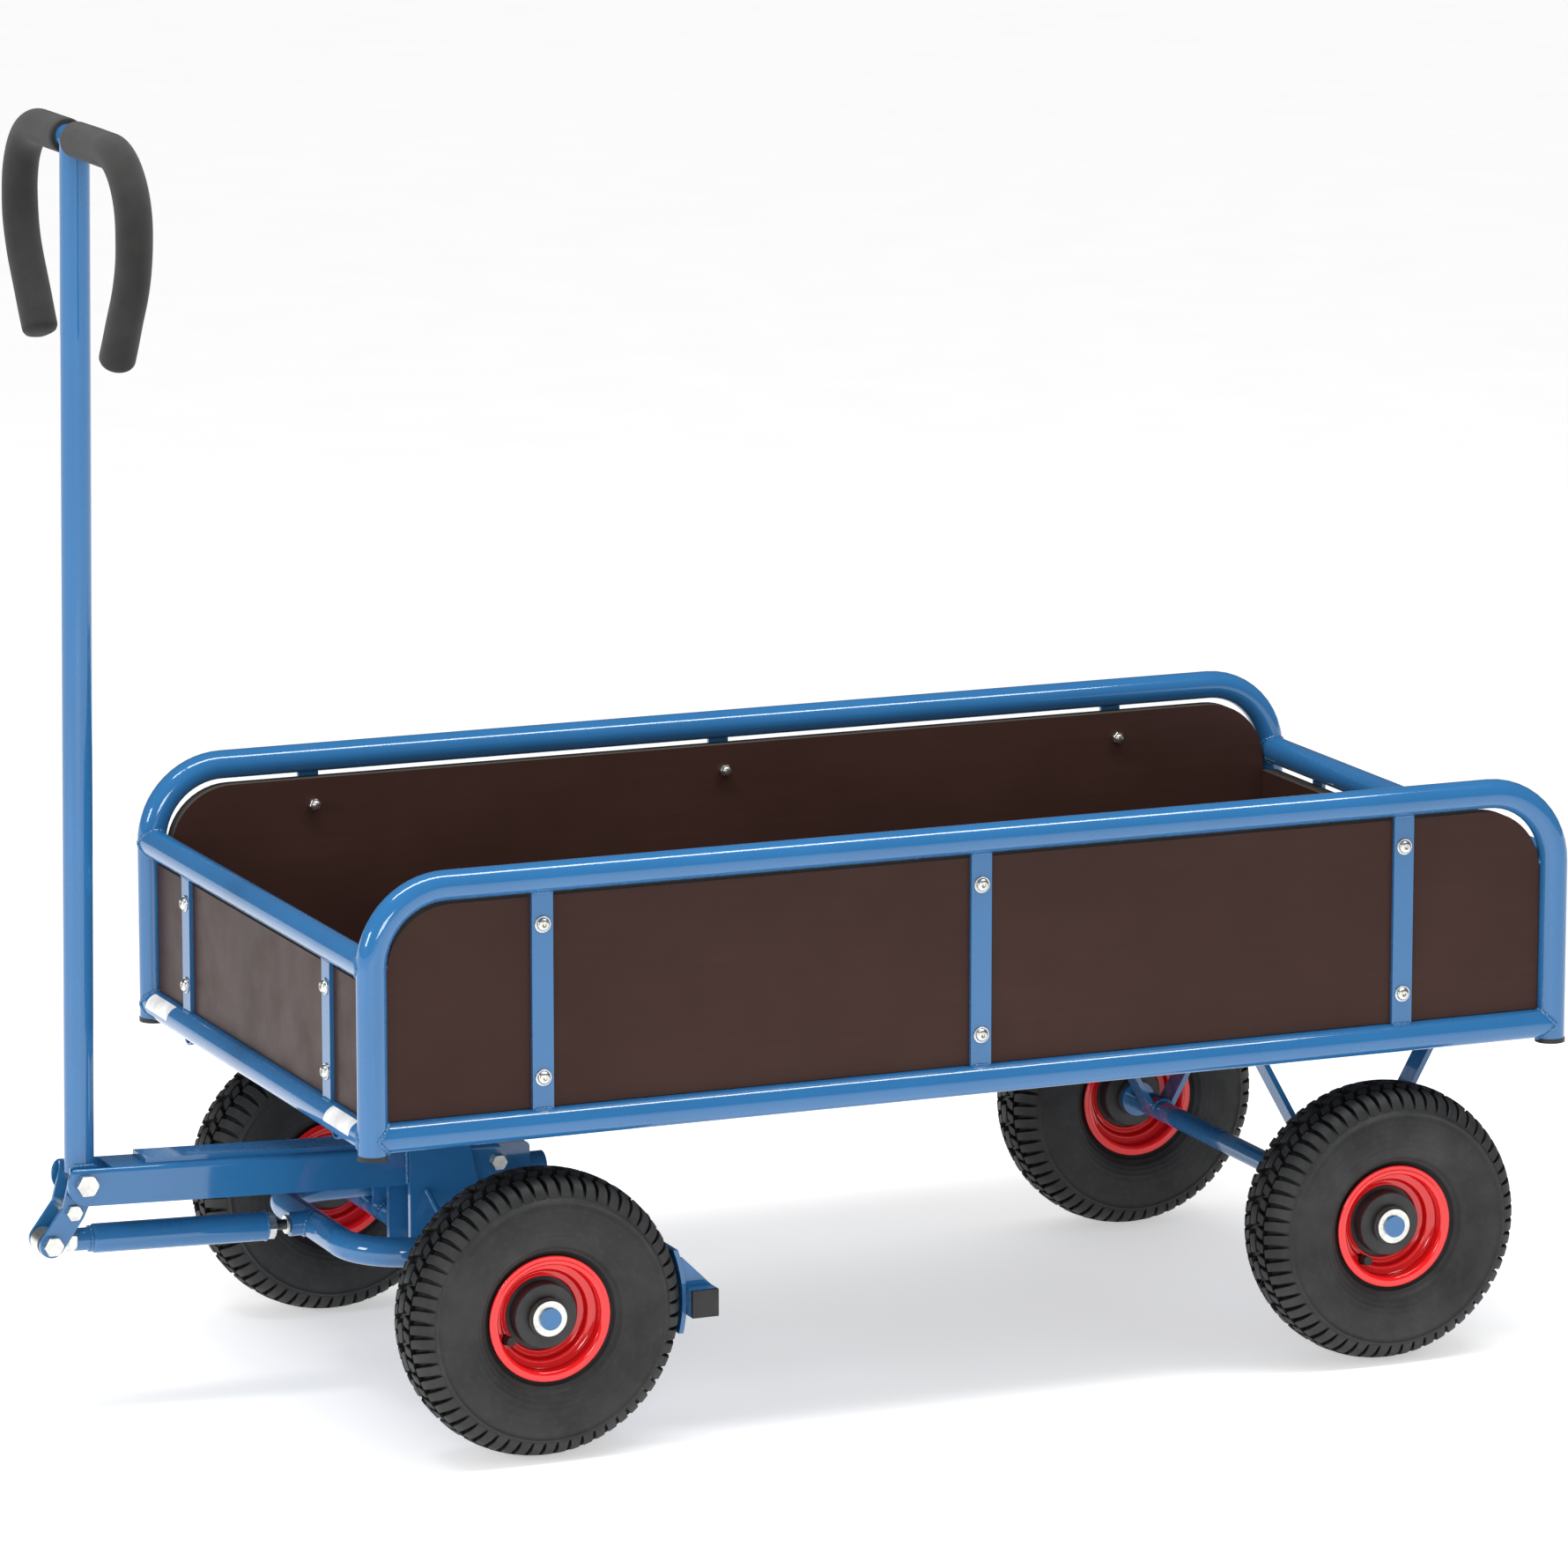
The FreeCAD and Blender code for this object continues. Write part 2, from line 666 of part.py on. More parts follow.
def drawbar():
    """Folded channel, open below, with rounded cheeks at the handle pivot and a strip on top."""
    head_radius = -drawbar_bottom
    nose = -3.0
    top_front_x = nose + math.sqrt(head_radius ** 2 - drawbar_top ** 2)
    rear = -drawbar_length
    chamfer = 9.0
    outline = [
        Part.LineSegment(V(nose, 0, drawbar_bottom), V(rear, 0, drawbar_bottom)).toShape(),
        Part.LineSegment(V(rear, 0, drawbar_bottom), V(rear, 0, drawbar_top - chamfer)).toShape(),
        Part.LineSegment(V(rear, 0, drawbar_top - chamfer), V(rear + chamfer, 0, drawbar_top)).toShape(),
        Part.LineSegment(V(rear + chamfer, 0, drawbar_top), V(top_front_x, 0, drawbar_top)).toShape(),
        Part.Arc(V(top_front_x, 0, drawbar_top), V(nose + head_radius, 0, 0),
                 V(nose, 0, drawbar_bottom)).toShape(),
    ]
    profile = Part.Face(Part.Wire(outline))
    full = profile.extrude(V(0, 2 * drawbar_half_width, 0))
    full.translate(V(0, -drawbar_half_width, 0))
    long_edges = [edge for edge in full.Edges
                  if abs(edge.BoundBox.ZMin - drawbar_top) < 1e-6 and edge.BoundBox.XLength > 100]
    full = full.makeFillet(5.0, long_edges)
    inside_y = drawbar_half_width - drawbar_sheet
    hollow = block(rear - 10, 40, -inside_y, inside_y, drawbar_bottom - 10, drawbar_top - drawbar_sheet)
    notch = block(-25.0, 40, -inside_y, inside_y, drawbar_top - 10, drawbar_top + 10)
    strip = block(-303.0, -58.0, -18.0, 18.0, drawbar_top, drawbar_top + 5.0)
    body = joined([full.cut([hollow, notch]), strip])
    body = in_drawbar_frame(body)
    pin_hole = rod(V(pivot_x, -40, pivot_z), V(pivot_x, 40, pivot_z), 6.1)
    guide_hole = rod(V(guide_bolt_x, -40, guide_bolt_z), V(guide_bolt_x, 40, guide_bolt_z), 4.1)
    return body.cut([pin_hole, guide_hole])


def fork_cheeks():
    """Side plates from the turntable down past the drawbar to the axle, and the axle stays."""
    sheet = 6.0
    front_x = 448.0
    foot_z = wheel_radius - 12.0
    outline = [V(front_x, 0, foot_z), V(front_x, 0, lower_plate_z), V(398, 0, lower_plate_z),
               V(368, 0, foot_z), V(front_x, 0, foot_z)]
    face = Part.Face(Part.makePolygon(outline))
    axle_bar = rod(V(front_axle_x, -post_y, wheel_radius), V(front_axle_x, post_y, wheel_radius),
                   axle_radius)
    parts = []
    for side in (1, -1):
        plate = face.extrude(V(0, side * sheet, 0))
        plate.translate(V(0, side * drawbar_half_width, 0))
        plate = plate.cut(axle_bar)
        stay_top = V(432, side * (drawbar_half_width + sheet), 184)
        stay_foot = V(front_axle_x, side * 94.0, wheel_radius + 5)
        stay = rod(stay_top, stay_foot, 3.0).cut([axle_bar, plate])
        parts.append(plate)
        parts.append(max(stay.Solids, key=lambda solid: solid.Volume))
    return parts


def bow_guides():
    """Straps over the brake bow's legs, seated on the axle; their wide side takes the bow's bends."""
    guides = []
    room = tube_radius + 1.0
    bend_room = tube_radius + 8.5
    sheet = 4.0
    back_x = front_axle_x - 14
    front_x = front_axle_x + 14
    axle_bar = rod(V(front_axle_x, -post_y, wheel_radius), V(front_axle_x, post_y, wheel_radius),
                   axle_radius)
    for side in (1, -1):
        y_low, y_high = sorted((side * (bow_leg_y - bend_room), side * (bow_leg_y + room)))
        outer = block(back_x, front_x, y_low - sheet, y_high + sheet, wheel_radius, bow_z + room + sheet)
        inner = block(back_x, front_x, y_low, y_high, wheel_radius, bow_z + room)
        guides.append(outer.cut([inner, axle_bar]))
    return guides


def through_bolt(x, z, thread_radius, flats, seat_y, head_height, nut_height):
    """Hexagon bolt across the centre plane with its head on the left and its nut on the right."""
    head = hexagon(V(x, seat_y, z), V(0, 1, 0), flats, head_height)
    shank = rod(V(x, -seat_y - nut_height - 2, z), V(x, seat_y, z), thread_radius)
    nut = hexagon(V(x, -seat_y, z), V(0, -1, 0), flats, nut_height)
    nut = nut.cut(rod(V(x, -seat_y - nut_height, z), V(x, -seat_y, z), thread_radius))
    return [joined([head, shank]), nut]


def drawbar_bolts():
    """The handle pivot bolt and the bolt that guides the brake frame's slotted plate."""
    pivot = through_bolt(pivot_x, pivot_z, 6.0, 18.0, drawbar_half_width, 7.5, 10.0)
    guide = through_bolt(guide_bolt_x, guide_bolt_z, 4.0, 13.0, drawbar_half_width, 5.3, 8.0)
    return pivot + guide


# ---- handle and brake lever ---------------------------------------------------------------
def stem_point(height):
    """Point on the stem's axis, which leans back from the pivot."""
    drop = height - pivot_z
    return V(pivot_x - stem_setback - math.tan(math.radians(stem_lean_deg)) * drop, 0, height)


def grip_path(side):
    """Half of the grip bar's centre line, from the middle of the top down to its open end."""
    top = stem_point(grip_top_z).x
    side_turn = math.radians(grip_side_turn_deg)
    side_radius = grip_bends[1]
    knee_y = grip_half_width - side_radius * (1 - math.cos(side_turn))
    knee_z = grip_shoulder_z - side_radius * math.sin(side_turn)
    end_y = knee_y - (knee_z - grip_end_z) * math.tan(side_turn)
    corner_z = grip_shoulder_z - side_radius * math.tan(side_turn / 2)
    return [V(top, 0, grip_top_z), V(top, side * grip_half_width, grip_top_z),
            V(top, side * grip_half_width, corner_z), V(top, side * end_y, grip_end_z)]


def grip_bar():
    """Round bar bent into an open loop, welded across the stem's top."""
    left = grip_path(1)
    right = grip_path(-1)
    points = [left[3], left[2], left[1], right[1], right[2], right[3]]
    bends = [grip_bends[1], grip_bends[0], grip_bends[0], grip_bends[1]]
    return bent_pipe(points, bends, grip_bar_radius, 2.0)


def handle_stem():
    foot = stem_point(stem_bottom_z)
    head = stem_point(grip_top_z)
    stem = pipe(foot, head, tube_radius, tube_wall)
    saddle = rod(V(head.x, -60, grip_top_z), V(head.x, 60, grip_top_z), grip_bar_radius)
    above = block(head.x - 40, head.x + 40, -40, 40, grip_top_z, grip_top_z + 40)
    stem = stem.cut([saddle, above])
    return max(stem.Solids, key=lambda solid: solid.Volume)


def foam_grip(side, bare_edge_y):
    """Foam sleeve on one half of the grip bar; it stops at the bare stretch of the top."""
    path = grip_path(side)
    start = V(path[0].x, bare_edge_y, grip_top_z)
    end = path[3] + (path[3] - path[2]).normalize() * foam_overhang
    points = [start, path[1], path[2], end]
    sleeve = bent_rod(points, grip_bends, foam_radius)
    bar = bent_rod([start, path[1], path[2], path[3]], grip_bends, grip_bar_radius)
    stem_room = rod(stem_point(1100), stem_point(grip_top_z), tube_radius + 0.4)
    sleeve = sleeve.cut([bar, stem_room])
    return max(sleeve.Solids, key=lambda solid: solid.Volume)


def lever_plates():
    """Pair of cranked plates: welded to the stem, hung on the pivot, and reaching to the strut pin."""
    pivot = (pivot_x, pivot_z)
    web_back_x = pivot_x - 14.0
    web_low_z = lever_bolt[1] - 12.4
    web_bend = 20.0
    plates = []
    for side in (1, -1):
        y_low, y_high = sorted((side * lever_inner_y, side * (lever_inner_y + lever_sheet)))
        upper = link_plate(pivot, 13.5, lever_bolt, 11.0, y_low, y_high)
        lower = link_plate(lever_bolt, 11.0, strut_pin, lever_tip_radius, y_low, y_high)
        web = block(web_back_x, web_back_x + web_bend, y_low, y_high, web_low_z, pivot_z)
        web = web.cut(rod(V(web_back_x, y_low, web_low_z), V(web_back_x, y_high, web_low_z), web_bend))
        tab = block(pivot_x - 13.5, pivot_x + 12.0, y_low, y_high, pivot_z, pivot_z + 14.5)
        holes = []
        for place, radius in ((pivot, 6.06), (lever_bolt, 4.05), (strut_pin, 5.0)):
            holes.append(rod(V(place[0], -40, place[1]), V(place[0], 40, place[1]), radius))
        plates.append(joined([upper, lower, web, tab]).cut(holes))
    return plates


def lever_bolts():
    """The clamp bolt with its spacer tube, and the strut pin bolt, both through the lever plates."""
    seat = lever_inner_y + lever_sheet
    clamp = through_bolt(lever_bolt[0], lever_bolt[1], 4.0, 13.0, seat, 4.4, 4.4)
    pin = through_bolt(strut_pin[0], strut_pin[1], 5.0, 16.0, seat, 6.4, 8.0)
    low = V(lever_bolt[0], -lever_inner_y, lever_bolt[1])
    high = V(lever_bolt[0], lever_inner_y, lever_bolt[1])
    spacer = rod(low, high, 7.0).cut(rod(low, high, 4.0))
    clamp[0] = clamp[0].common(block(700, 900, -seat - 4.6, 60, 100, 300))
    return clamp + pin + [spacer]


# ---- brake strut --------------------------------------------------------------------------
strut_end = (lug_face_x + 1.2, lug_z + 0.4)


def strut_place(distance):
    """Point on the strut's axis at a distance behind its pin."""
    heading = V(strut_end[0] - strut_pin[0], 0, strut_end[1] - strut_pin[1]).normalize()
    return V(strut_pin[0], 0, strut_pin[1]) + heading * distance


def strut_length():
    return math.hypot(strut_end[0] - strut_pin[0], strut_end[1] - strut_pin[1])


def strut_tube():
    """Tube necked down at the lever's end, closed by a ring at the adjuster's end."""
    neck = rod(strut_place(26.0), strut_place(40.0), 10.5)
    taper_axis = strut_place(44.0) - strut_place(40.0)
    taper = Part.makeCone(10.5, tube_radius, taper_axis.Length, strut_place(40.0), taper_axis)
    body = rod(strut_place(44.0), strut_place(208.0), tube_radius)
    bore = rod(strut_place(60.0), strut_place(206.0), tube_radius - tube_wall)
    thread = rod(strut_place(26.0), strut_place(60.0), 6.0)
    end_hole = rod(strut_place(206.0), strut_place(208.0), 5.0)
    return joined([neck, taper, body]).cut([bore, thread, end_hole])


def strut_rod_end():
    """Eye on the strut pin with its shank in the tube's neck."""
    eye = rod(V(strut_pin[0], -10, strut_pin[1]), V(strut_pin[0], 10, strut_pin[1]), rod_eye_radius)
    hole = rod(V(strut_pin[0], -10, strut_pin[1]), V(strut_pin[0], 10, strut_pin[1]), 5.06)
    shank = rod(strut_place(8.0), strut_place(58.0), 6.0)
    nut = hexagon(strut_place(18.5), strut_place(26.0) - strut_place(18.5), 19.0, 7.5)
    return joined([eye, shank, nut]).cut(hole)


def strut_adjuster():
    """Threaded rod out of the strut's tail, its two nuts, and the spring it carries inside."""
    length = strut_length()
    stud = rod(strut_place(150.0), strut_place(length), 5.0)
    tail_nut = hexagon(strut_place(208.0), strut_place(216.0) - strut_place(208.0), 22.0, 5.0)
    lock_nut = hexagon(strut_place(length - 5.5), strut_place(length) - strut_place(0), 17.0, 5.0)
    seat = rod(strut_place(150.0), strut_place(154.0), 10.5)
    return [joined([stud, tail_nut, lock_nut, seat])]


# ---- brake frame --------------------------------------------------------------------------
def brake_bow():
    """U-shaped tube: a cross part ahead of the axle and two legs back over it, with the strut's lug."""
    points = [V(256, bow_leg_y, bow_z), V(bow_front_x, bow_leg_y, bow_z),
              V(bow_front_x, -bow_leg_y, bow_z), V(256, -bow_leg_y, bow_z)]
    bow = bent_pipe(points, [bow_bend_radius, bow_bend_radius], tube_radius, tube_wall)
    lug_back = V(bow_front_x + 6.0, 0, lug_z)
    lug_face = V(lug_face_x, 0, lug_z)
    bore = bent_rod(points, [bow_bend_radius, bow_bend_radius], tube_radius - tube_wall)
    lug = rod(lug_back, lug_face, lug_radius).cut([bore, rod(lug_back, lug_face, 5.0)])
    return joined([bow, lug])


def brake_bar():
    half = brake_bar_size / 2
    outer = block(brake_bar_x - half, brake_bar_x + half, -brake_bar_half_length, brake_bar_half_length,
                  brake_bar_z - half, brake_bar_z + half)
    inner = block(brake_bar_x - half + 2, brake_bar_x + half - 2,
                  -brake_bar_half_length, brake_bar_half_length,
                  brake_bar_z - half + 2, brake_bar_z + half - 2)
    return outer.cut(inner)


def bar_end_caps():
    caps = []
    half = brake_bar_size / 2
    for side in (1, -1):
        face = side * brake_bar_half_length
        head_low, head_high = sorted((face, face + side * 4.0))
        plug_low, plug_high = sorted((face, face - side * 12.0))
        head = block(brake_bar_x - half, brake_bar_x + half, head_low, head_high,
                     brake_bar_z - half, brake_bar_z + half)
        plug = block(brake_bar_x - half + 2.2, brake_bar_x + half - 2.2, plug_low, plug_high,
                     brake_bar_z - half + 2.2, brake_bar_z + half - 2.2)
        caps.append(joined([head, plug]))
    return caps


def brake_shoes():
    """Curved steel plates that follow the back of each front tyre, with gussets onto the bar."""
    shoes = []
    shoe_half_width = 20.0
    pad_half_width = 18.0
    inner_radius = wheel_radius + 1.0
    outer_radius = inner_radius + 4.2
    gusset_sheet = 5.0
    gusset_top_z = 168.0
    bar_top_z = brake_bar_z + brake_bar_size / 2
    bar_front_x = brake_bar_x + brake_bar_size / 2
    bar_back_x = brake_bar_x - brake_bar_size / 2
    for side in (1, -1):
        y = side * wheel_y
        centre = V(front_axle_x, y - shoe_half_width, wheel_radius)
        ring = Part.makeCylinder(outer_radius, 2 * shoe_half_width, centre, V(0, 1, 0))
        ring = ring.cut(Part.makeCylinder(inner_radius, 2 * shoe_half_width, centre, V(0, 1, 0)))
        window = block(200, 340, y - shoe_half_width, y + shoe_half_width, 100.0, 177.0)
        pad = block(bar_front_x, front_axle_x - inner_radius - 2.0,
                    y - pad_half_width, y + pad_half_width, brake_bar_z - 9, brake_bar_z + 9)
        parts = [ring.common(window), pad]
        for gusset_y in (y - 16.0, y + 11.0):
            corners = [V(bar_back_x, gusset_y, bar_top_z), V(bar_front_x + 3.0, gusset_y, bar_top_z),
                       V(front_axle_x - inner_radius, gusset_y, gusset_top_z),
                       V(bar_front_x + 2.0, gusset_y, gusset_top_z), V(bar_back_x, gusset_y, bar_top_z)]
            gusset = Part.Face(Part.makePolygon(corners)).extrude(V(0, gusset_sheet, 0))
            parts.append(gusset.cut(Part.makeCylinder(inner_radius, 2 * shoe_half_width, centre, V(0, 1, 0))))
        shoe = joined(parts)
        shoes.append(max(shoe.Solids, key=lambda solid: solid.Volume))
    return shoes


def guide_plate():
    """Cross flat on the bow's legs with an upright plate, slotted to slide on the guide bolt."""
    back_x = 320.0
    post_front_x = 346.0
    arm_front_x = 441.0
    half_sheet = 2.5
    cross_height = 6.0
    slot_half = 4.5
    leg_top = bow_z + tube_radius
    cross_half = bow_leg_y + 8
    plate_top = guide_bolt_z + 11.0
    cross = block(back_x, post_front_x, -cross_half, cross_half, leg_top, leg_top + cross_height)
    post = block(back_x, post_front_x, -half_sheet, half_sheet, leg_top + cross_height, plate_top)
    arm = block(back_x, arm_front_x, -half_sheet, half_sheet, guide_bolt_z - 11.0, plate_top)
    slot_back = guide_bolt_x - 1.0
    slot_front = guide_bolt_x + brake_travel + 1.0
    slot = joined([
        block(slot_back, slot_front, -3, 3, guide_bolt_z - slot_half, guide_bolt_z + slot_half),
        rod(V(slot_back, -3, guide_bolt_z), V(slot_back, 3, guide_bolt_z), slot_half),
        rod(V(slot_front, -3, guide_bolt_z), V(slot_front, 3, guide_bolt_z), slot_half),
    ])
    plate = joined([cross, post, arm])
    back_edges = [edge for edge in plate.Edges
                  if abs(edge.BoundBox.XMin - back_x) < 1e-6 and abs(edge.BoundBox.ZMin - plate_top) < 1e-6
                  and edge.BoundBox.XLength < 1e-6]
    return plate.makeFillet(6.0, back_edges).cut(slot)


# ---- all nodes ----------------------------------------------------------------------------
def build():
    os.makedirs("parts", exist_ok=True)
    save("side_frame_left", [side_frame(1)])
    save("side_frame_right", [side_frame(-1)])
    save("lower_frame", lower_frame())
    save("end_top_rails", end_top_rails())
    save("post_caps", post_caps())
    save("panel_bars", panel_bars())
    save("side_panel_left", [side_panel(1)])
    save("side_panel_right", [side_panel(-1)])
    save("front_panel", [end_panel(1)])
    save("rear_panel", [end_panel(-1)])
    save("floor_panel", [floor_panel()])
    save("panel_fasteners", panel_fasteners())
    save("deck_bearers", deck_bearers())
    save("cross_members", cross_members())
    save("turntable_top_plate", [turntable_top_plate()])
    save("turntable_ring", [turntable_ring()])
    save("kingpin", kingpin())
    save("rear_axle", [axle(rear_axle_x)])
    save("rear_axle_washers", axle_washers(rear_axle_x))
    save("rear_axle_bearings", axle_bearings(rear_axle_x))
    save("rear_struts", rear_struts())

    save("turntable_lower_plate", [turntable_lower_plate()])
    save("drawbar", [drawbar()])
    save("fork_cheeks", fork_cheeks())
    save("front_axle", [axle(front_axle_x)])
    save("front_axle_washers", axle_washers(front_axle_x))
    save("front_axle_bearings", axle_bearings(front_axle_x))
    save("bow_guides", bow_guides())
    save("drawbar_bolts", drawbar_bolts())

    for name, x, side in (("front_left", front_axle_x, 1), ("front_right", front_axle_x, -1),
                          ("rear_left", rear_axle_x, 1), ("rear_right", rear_axle_x, -1)):
        wheel(name, x, side)

    save("handle_stem", [handle_stem()])
    save("grip_bar", [grip_bar()])
    save("foam_grip_left", [foam_grip(1, bare_bar_near)])
    save("foam_grip_right", [foam_grip(-1, bare_bar_far)])
    save("lever_plates", lever_plates())
    save("lever_bolts", lever_bolts())

    save("strut_tube", [strut_tube()])
    save("strut_rod_end", [strut_rod_end()])
    save("strut_adjuster", strut_adjuster())

    save("brake_bow", [brake_bow()])
    save("brake_bar", [brake_bar()])
    save("bar_end_caps", bar_end_caps())
    save("brake_shoes", brake_shoes())
    save("guide_plate", [guide_plate()])


build()
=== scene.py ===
import json
import math

import bmesh
import bpy
from mathutils import Matrix, Vector, noise


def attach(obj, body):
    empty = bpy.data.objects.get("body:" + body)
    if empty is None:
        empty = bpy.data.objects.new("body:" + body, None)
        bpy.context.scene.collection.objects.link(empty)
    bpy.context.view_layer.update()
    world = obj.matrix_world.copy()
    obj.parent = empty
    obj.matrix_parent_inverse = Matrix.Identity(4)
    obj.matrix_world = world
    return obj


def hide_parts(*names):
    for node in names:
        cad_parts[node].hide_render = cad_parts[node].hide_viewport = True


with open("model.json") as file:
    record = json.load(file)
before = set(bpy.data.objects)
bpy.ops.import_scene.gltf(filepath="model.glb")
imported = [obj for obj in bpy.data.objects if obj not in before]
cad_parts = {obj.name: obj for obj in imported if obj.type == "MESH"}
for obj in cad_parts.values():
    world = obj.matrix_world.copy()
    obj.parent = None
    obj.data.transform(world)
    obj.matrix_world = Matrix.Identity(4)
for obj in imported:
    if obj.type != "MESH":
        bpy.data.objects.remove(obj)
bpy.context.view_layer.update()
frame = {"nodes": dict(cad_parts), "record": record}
nodes = frame["nodes"]

# ---- the cart's driving dimensions, in millimetres from the middle of its tray -------------
ORIGIN_X = 101.175
TUBE_R = 13.45
POST_X = 580.6
POST_Y = 293.6
LOWER_RAIL_Z = 305.6
SIDE_RAIL_Z = 526.6
END_RAIL_Z = 458.4
BAR_WIDTH = 20.0
BAR_THICKNESS = 4.0
PANEL_THICKNESS = 15.0
LEFT_BAR_X = (422.0, 0.0, -424.0)
RIGHT_BAR_X = (425.0, 8.0, -407.0)
END_BAR_Y = (188.0, -188.0)
SIDE_BOLT_Z = (347.3, 485.0)
END_BOLT_Z = (344.0, 421.0)
FLOOR_SCREW_Y = 150.0
FLOOR_TOP_Z = 323.6
BEARER_Y = 198.0
BEARER_Z = 298.0
BOW_LEG_Y = 130.0
BOW_FRONT_X = 530.0
BOW_Z = 155.0
LUG_Z = 157.5
WHEEL_Y = 274.0
WHEEL_Z = 130.0
FRONT_AXLE_X = 420.0
REAR_AXLE_X = -415.3
CROSS_X = (453.0, 387.0, 0.0, REAR_AXLE_X)
WHEELS = {
    "front_left": (FRONT_AXLE_X, 1), "front_right": (FRONT_AXLE_X, -1),
    "rear_left": (REAR_AXLE_X, 1), "rear_right": (REAR_AXLE_X, -1),
}
PIVOT_X = 755.0
PIVOT_Z = 220.0


def at(x, y, z):
    """A point given in millimetres from the middle of the tray, as metres in the row frame."""
    return Vector(((x - ORIGIN_X) / 1000, y / 1000, z / 1000))


# ---- meshes ---------------------------------------------------------------------------------
class Shape:
    """Vertices in millimetres and faces, gathered before they become one object."""

    def __init__(self):
        self.points = []
        self.faces = []

    def add(self, points, faces):
        base = len(self.points)
        self.points.extend(Vector(p) for p in points)
        self.faces.extend(tuple(base + i for i in face) for face in faces)

    def grid(self, rows, close_rows=False, close_columns=False, cap_start=False, cap_end=False):
        """Skins rows of points; a cap closes the first or last row with one face."""
        count = len(rows[0])
        faces = []
        for r in range(len(rows) if close_rows else len(rows) - 1):
            following = (r + 1) % len(rows)
            for c in range(count if close_columns else count - 1):
                step = (c + 1) % count
                faces.append((r * count + c, r * count + step,
                              following * count + step, following * count + c))
        if cap_start:
            faces.append(tuple(reversed(range(count))))
        if cap_end:
            last = (len(rows) - 1) * count
            faces.append(tuple(last + i for i in range(count)))
        self.add([p for row in rows for p in row], faces)

    def join(self, other, placement=None):
        moved = [placement @ p for p in other.points] if placement else other.points
        self.add(moved, other.faces)

    def object(self, name, material, sharp_degrees=35.0):
        mesh = bpy.data.meshes.new(name)
        mesh.from_pydata([at(p.x, p.y, p.z) for p in self.points], [], self.faces)
        mesh.validate()
        fix_winding(mesh)
        mesh.shade_smooth()
        mesh.set_sharp_from_angle(angle=math.radians(sharp_degrees))
        mesh.materials.append(material)
        made = bpy.data.objects.new(name, mesh)
        bpy.context.scene.collection.objects.link(made)
        return made


def fix_winding(mesh):
    """Merges coincident points, drops flat faces and turns all faces outward."""
    work = bmesh.new()
    work.from_mesh(mesh)
    bmesh.ops.remove_doubles(work, verts=work.verts, dist=1e-6)
    bmesh.ops.dissolve_degenerate(work, edges=work.edges, dist=1e-7)
    bmesh.ops.recalc_face_normals(work, faces=work.faces)
    work.to_mesh(mesh)
    work.free()


def lathe(profile, centre, steps, tube=True):
    """Turns (radius, y) points about a Y axis line; a tube's outline closes on itself."""
    shape = Shape()
    rows = []
    for i in range(steps):
        turn = 2 * math.pi * i / steps
        rows.append([Vector((centre[0] + r * math.cos(turn), centre[1] + y, centre[2] + r * math.sin(turn)))
                     for r, y in profile])
    shape.grid(rows, close_rows=True, close_columns=tube)
    return shape


def frames_along(path, closed):
    """Point, normal and binormal at each point of a path, turning as little as they can."""
    count = len(path)
    tangents = []
    for i in range(count):
        if closed:
            ahead, behind = path[(i + 1) % count], path[i - 1]
        else:
            ahead, behind = path[min(i + 1, count - 1)], path[max(i - 1, 0)]
        tangents.append((ahead - behind).normalized())
    side = tangents[0].orthogonal().normalized()
    placed = []
    for point, tangent in zip(path, tangents):
        side = (side - tangent * side.dot(tangent)).normalized()
        placed.append((point, side, tangent.cross(side)))
    return placed


def sweep(path, radius_at, sides=12, closed=False):
    """Round skin along the path; radius_at gives the radius at each index."""
    shape = Shape()
    rows = []
    for i, (point, side, up) in enumerate(frames_along(path, closed)):
        r = radius_at(i)
        rows.append([point + (side * math.cos(2 * math.pi * k / sides)
                              + up * math.sin(2 * math.pi * k / sides)) * r for k in range(sides)])
    shape.grid(rows, close_rows=closed, close_columns=True, cap_start=not closed, cap_end=not closed)
    return shape


def resampled(path, step, closed=False):
    """Points at about equal steps along a polyline."""
    points = list(path) + ([path[0]] if closed else [])
    lengths = [0.0]
    for a, b in zip(points, points[1:]):
        lengths.append(lengths[-1] + (b - a).length)
    total = lengths[-1]
    count = max(3, round(total / step))
    out = []
    index = 0
    for k in range(count if closed else count + 1):
        wanted = total * k / count
        while index < len(lengths) - 2 and lengths[index + 1] < wanted:
            index += 1
        span = lengths[index + 1] - lengths[index]
        out.append(points[index].lerp(points[index + 1], (wanted - lengths[index]) / span if span else 0))
    return out


def filleted(points, radii, step_degrees=3.0):
    """Polyline through the points with an arc at each inner point."""
    path = [points[0]]
    for i in range(1, len(points) - 1):
        corner = points[i]
        incoming = (corner - points[i - 1]).normalized()
        outgoing = (points[i + 1] - corner).normalized()
        turn = incoming.angle(outgoing)
        radius = radii[i - 1]
        setback = radius * math.tan(turn / 2)
        start = corner - incoming * setback
        normal = incoming.cross(outgoing).normalized()
        inward = normal.cross(incoming)
        centre = start + inward * radius
        steps = max(2, round(math.degrees(turn) / step_degrees))
        for k in range(steps + 1):
            swing = turn * k / steps
            path.append(centre - inward * radius * math.cos(swing) + incoming * radius * math.sin(swing))
    path.append(points[-1])
    return path


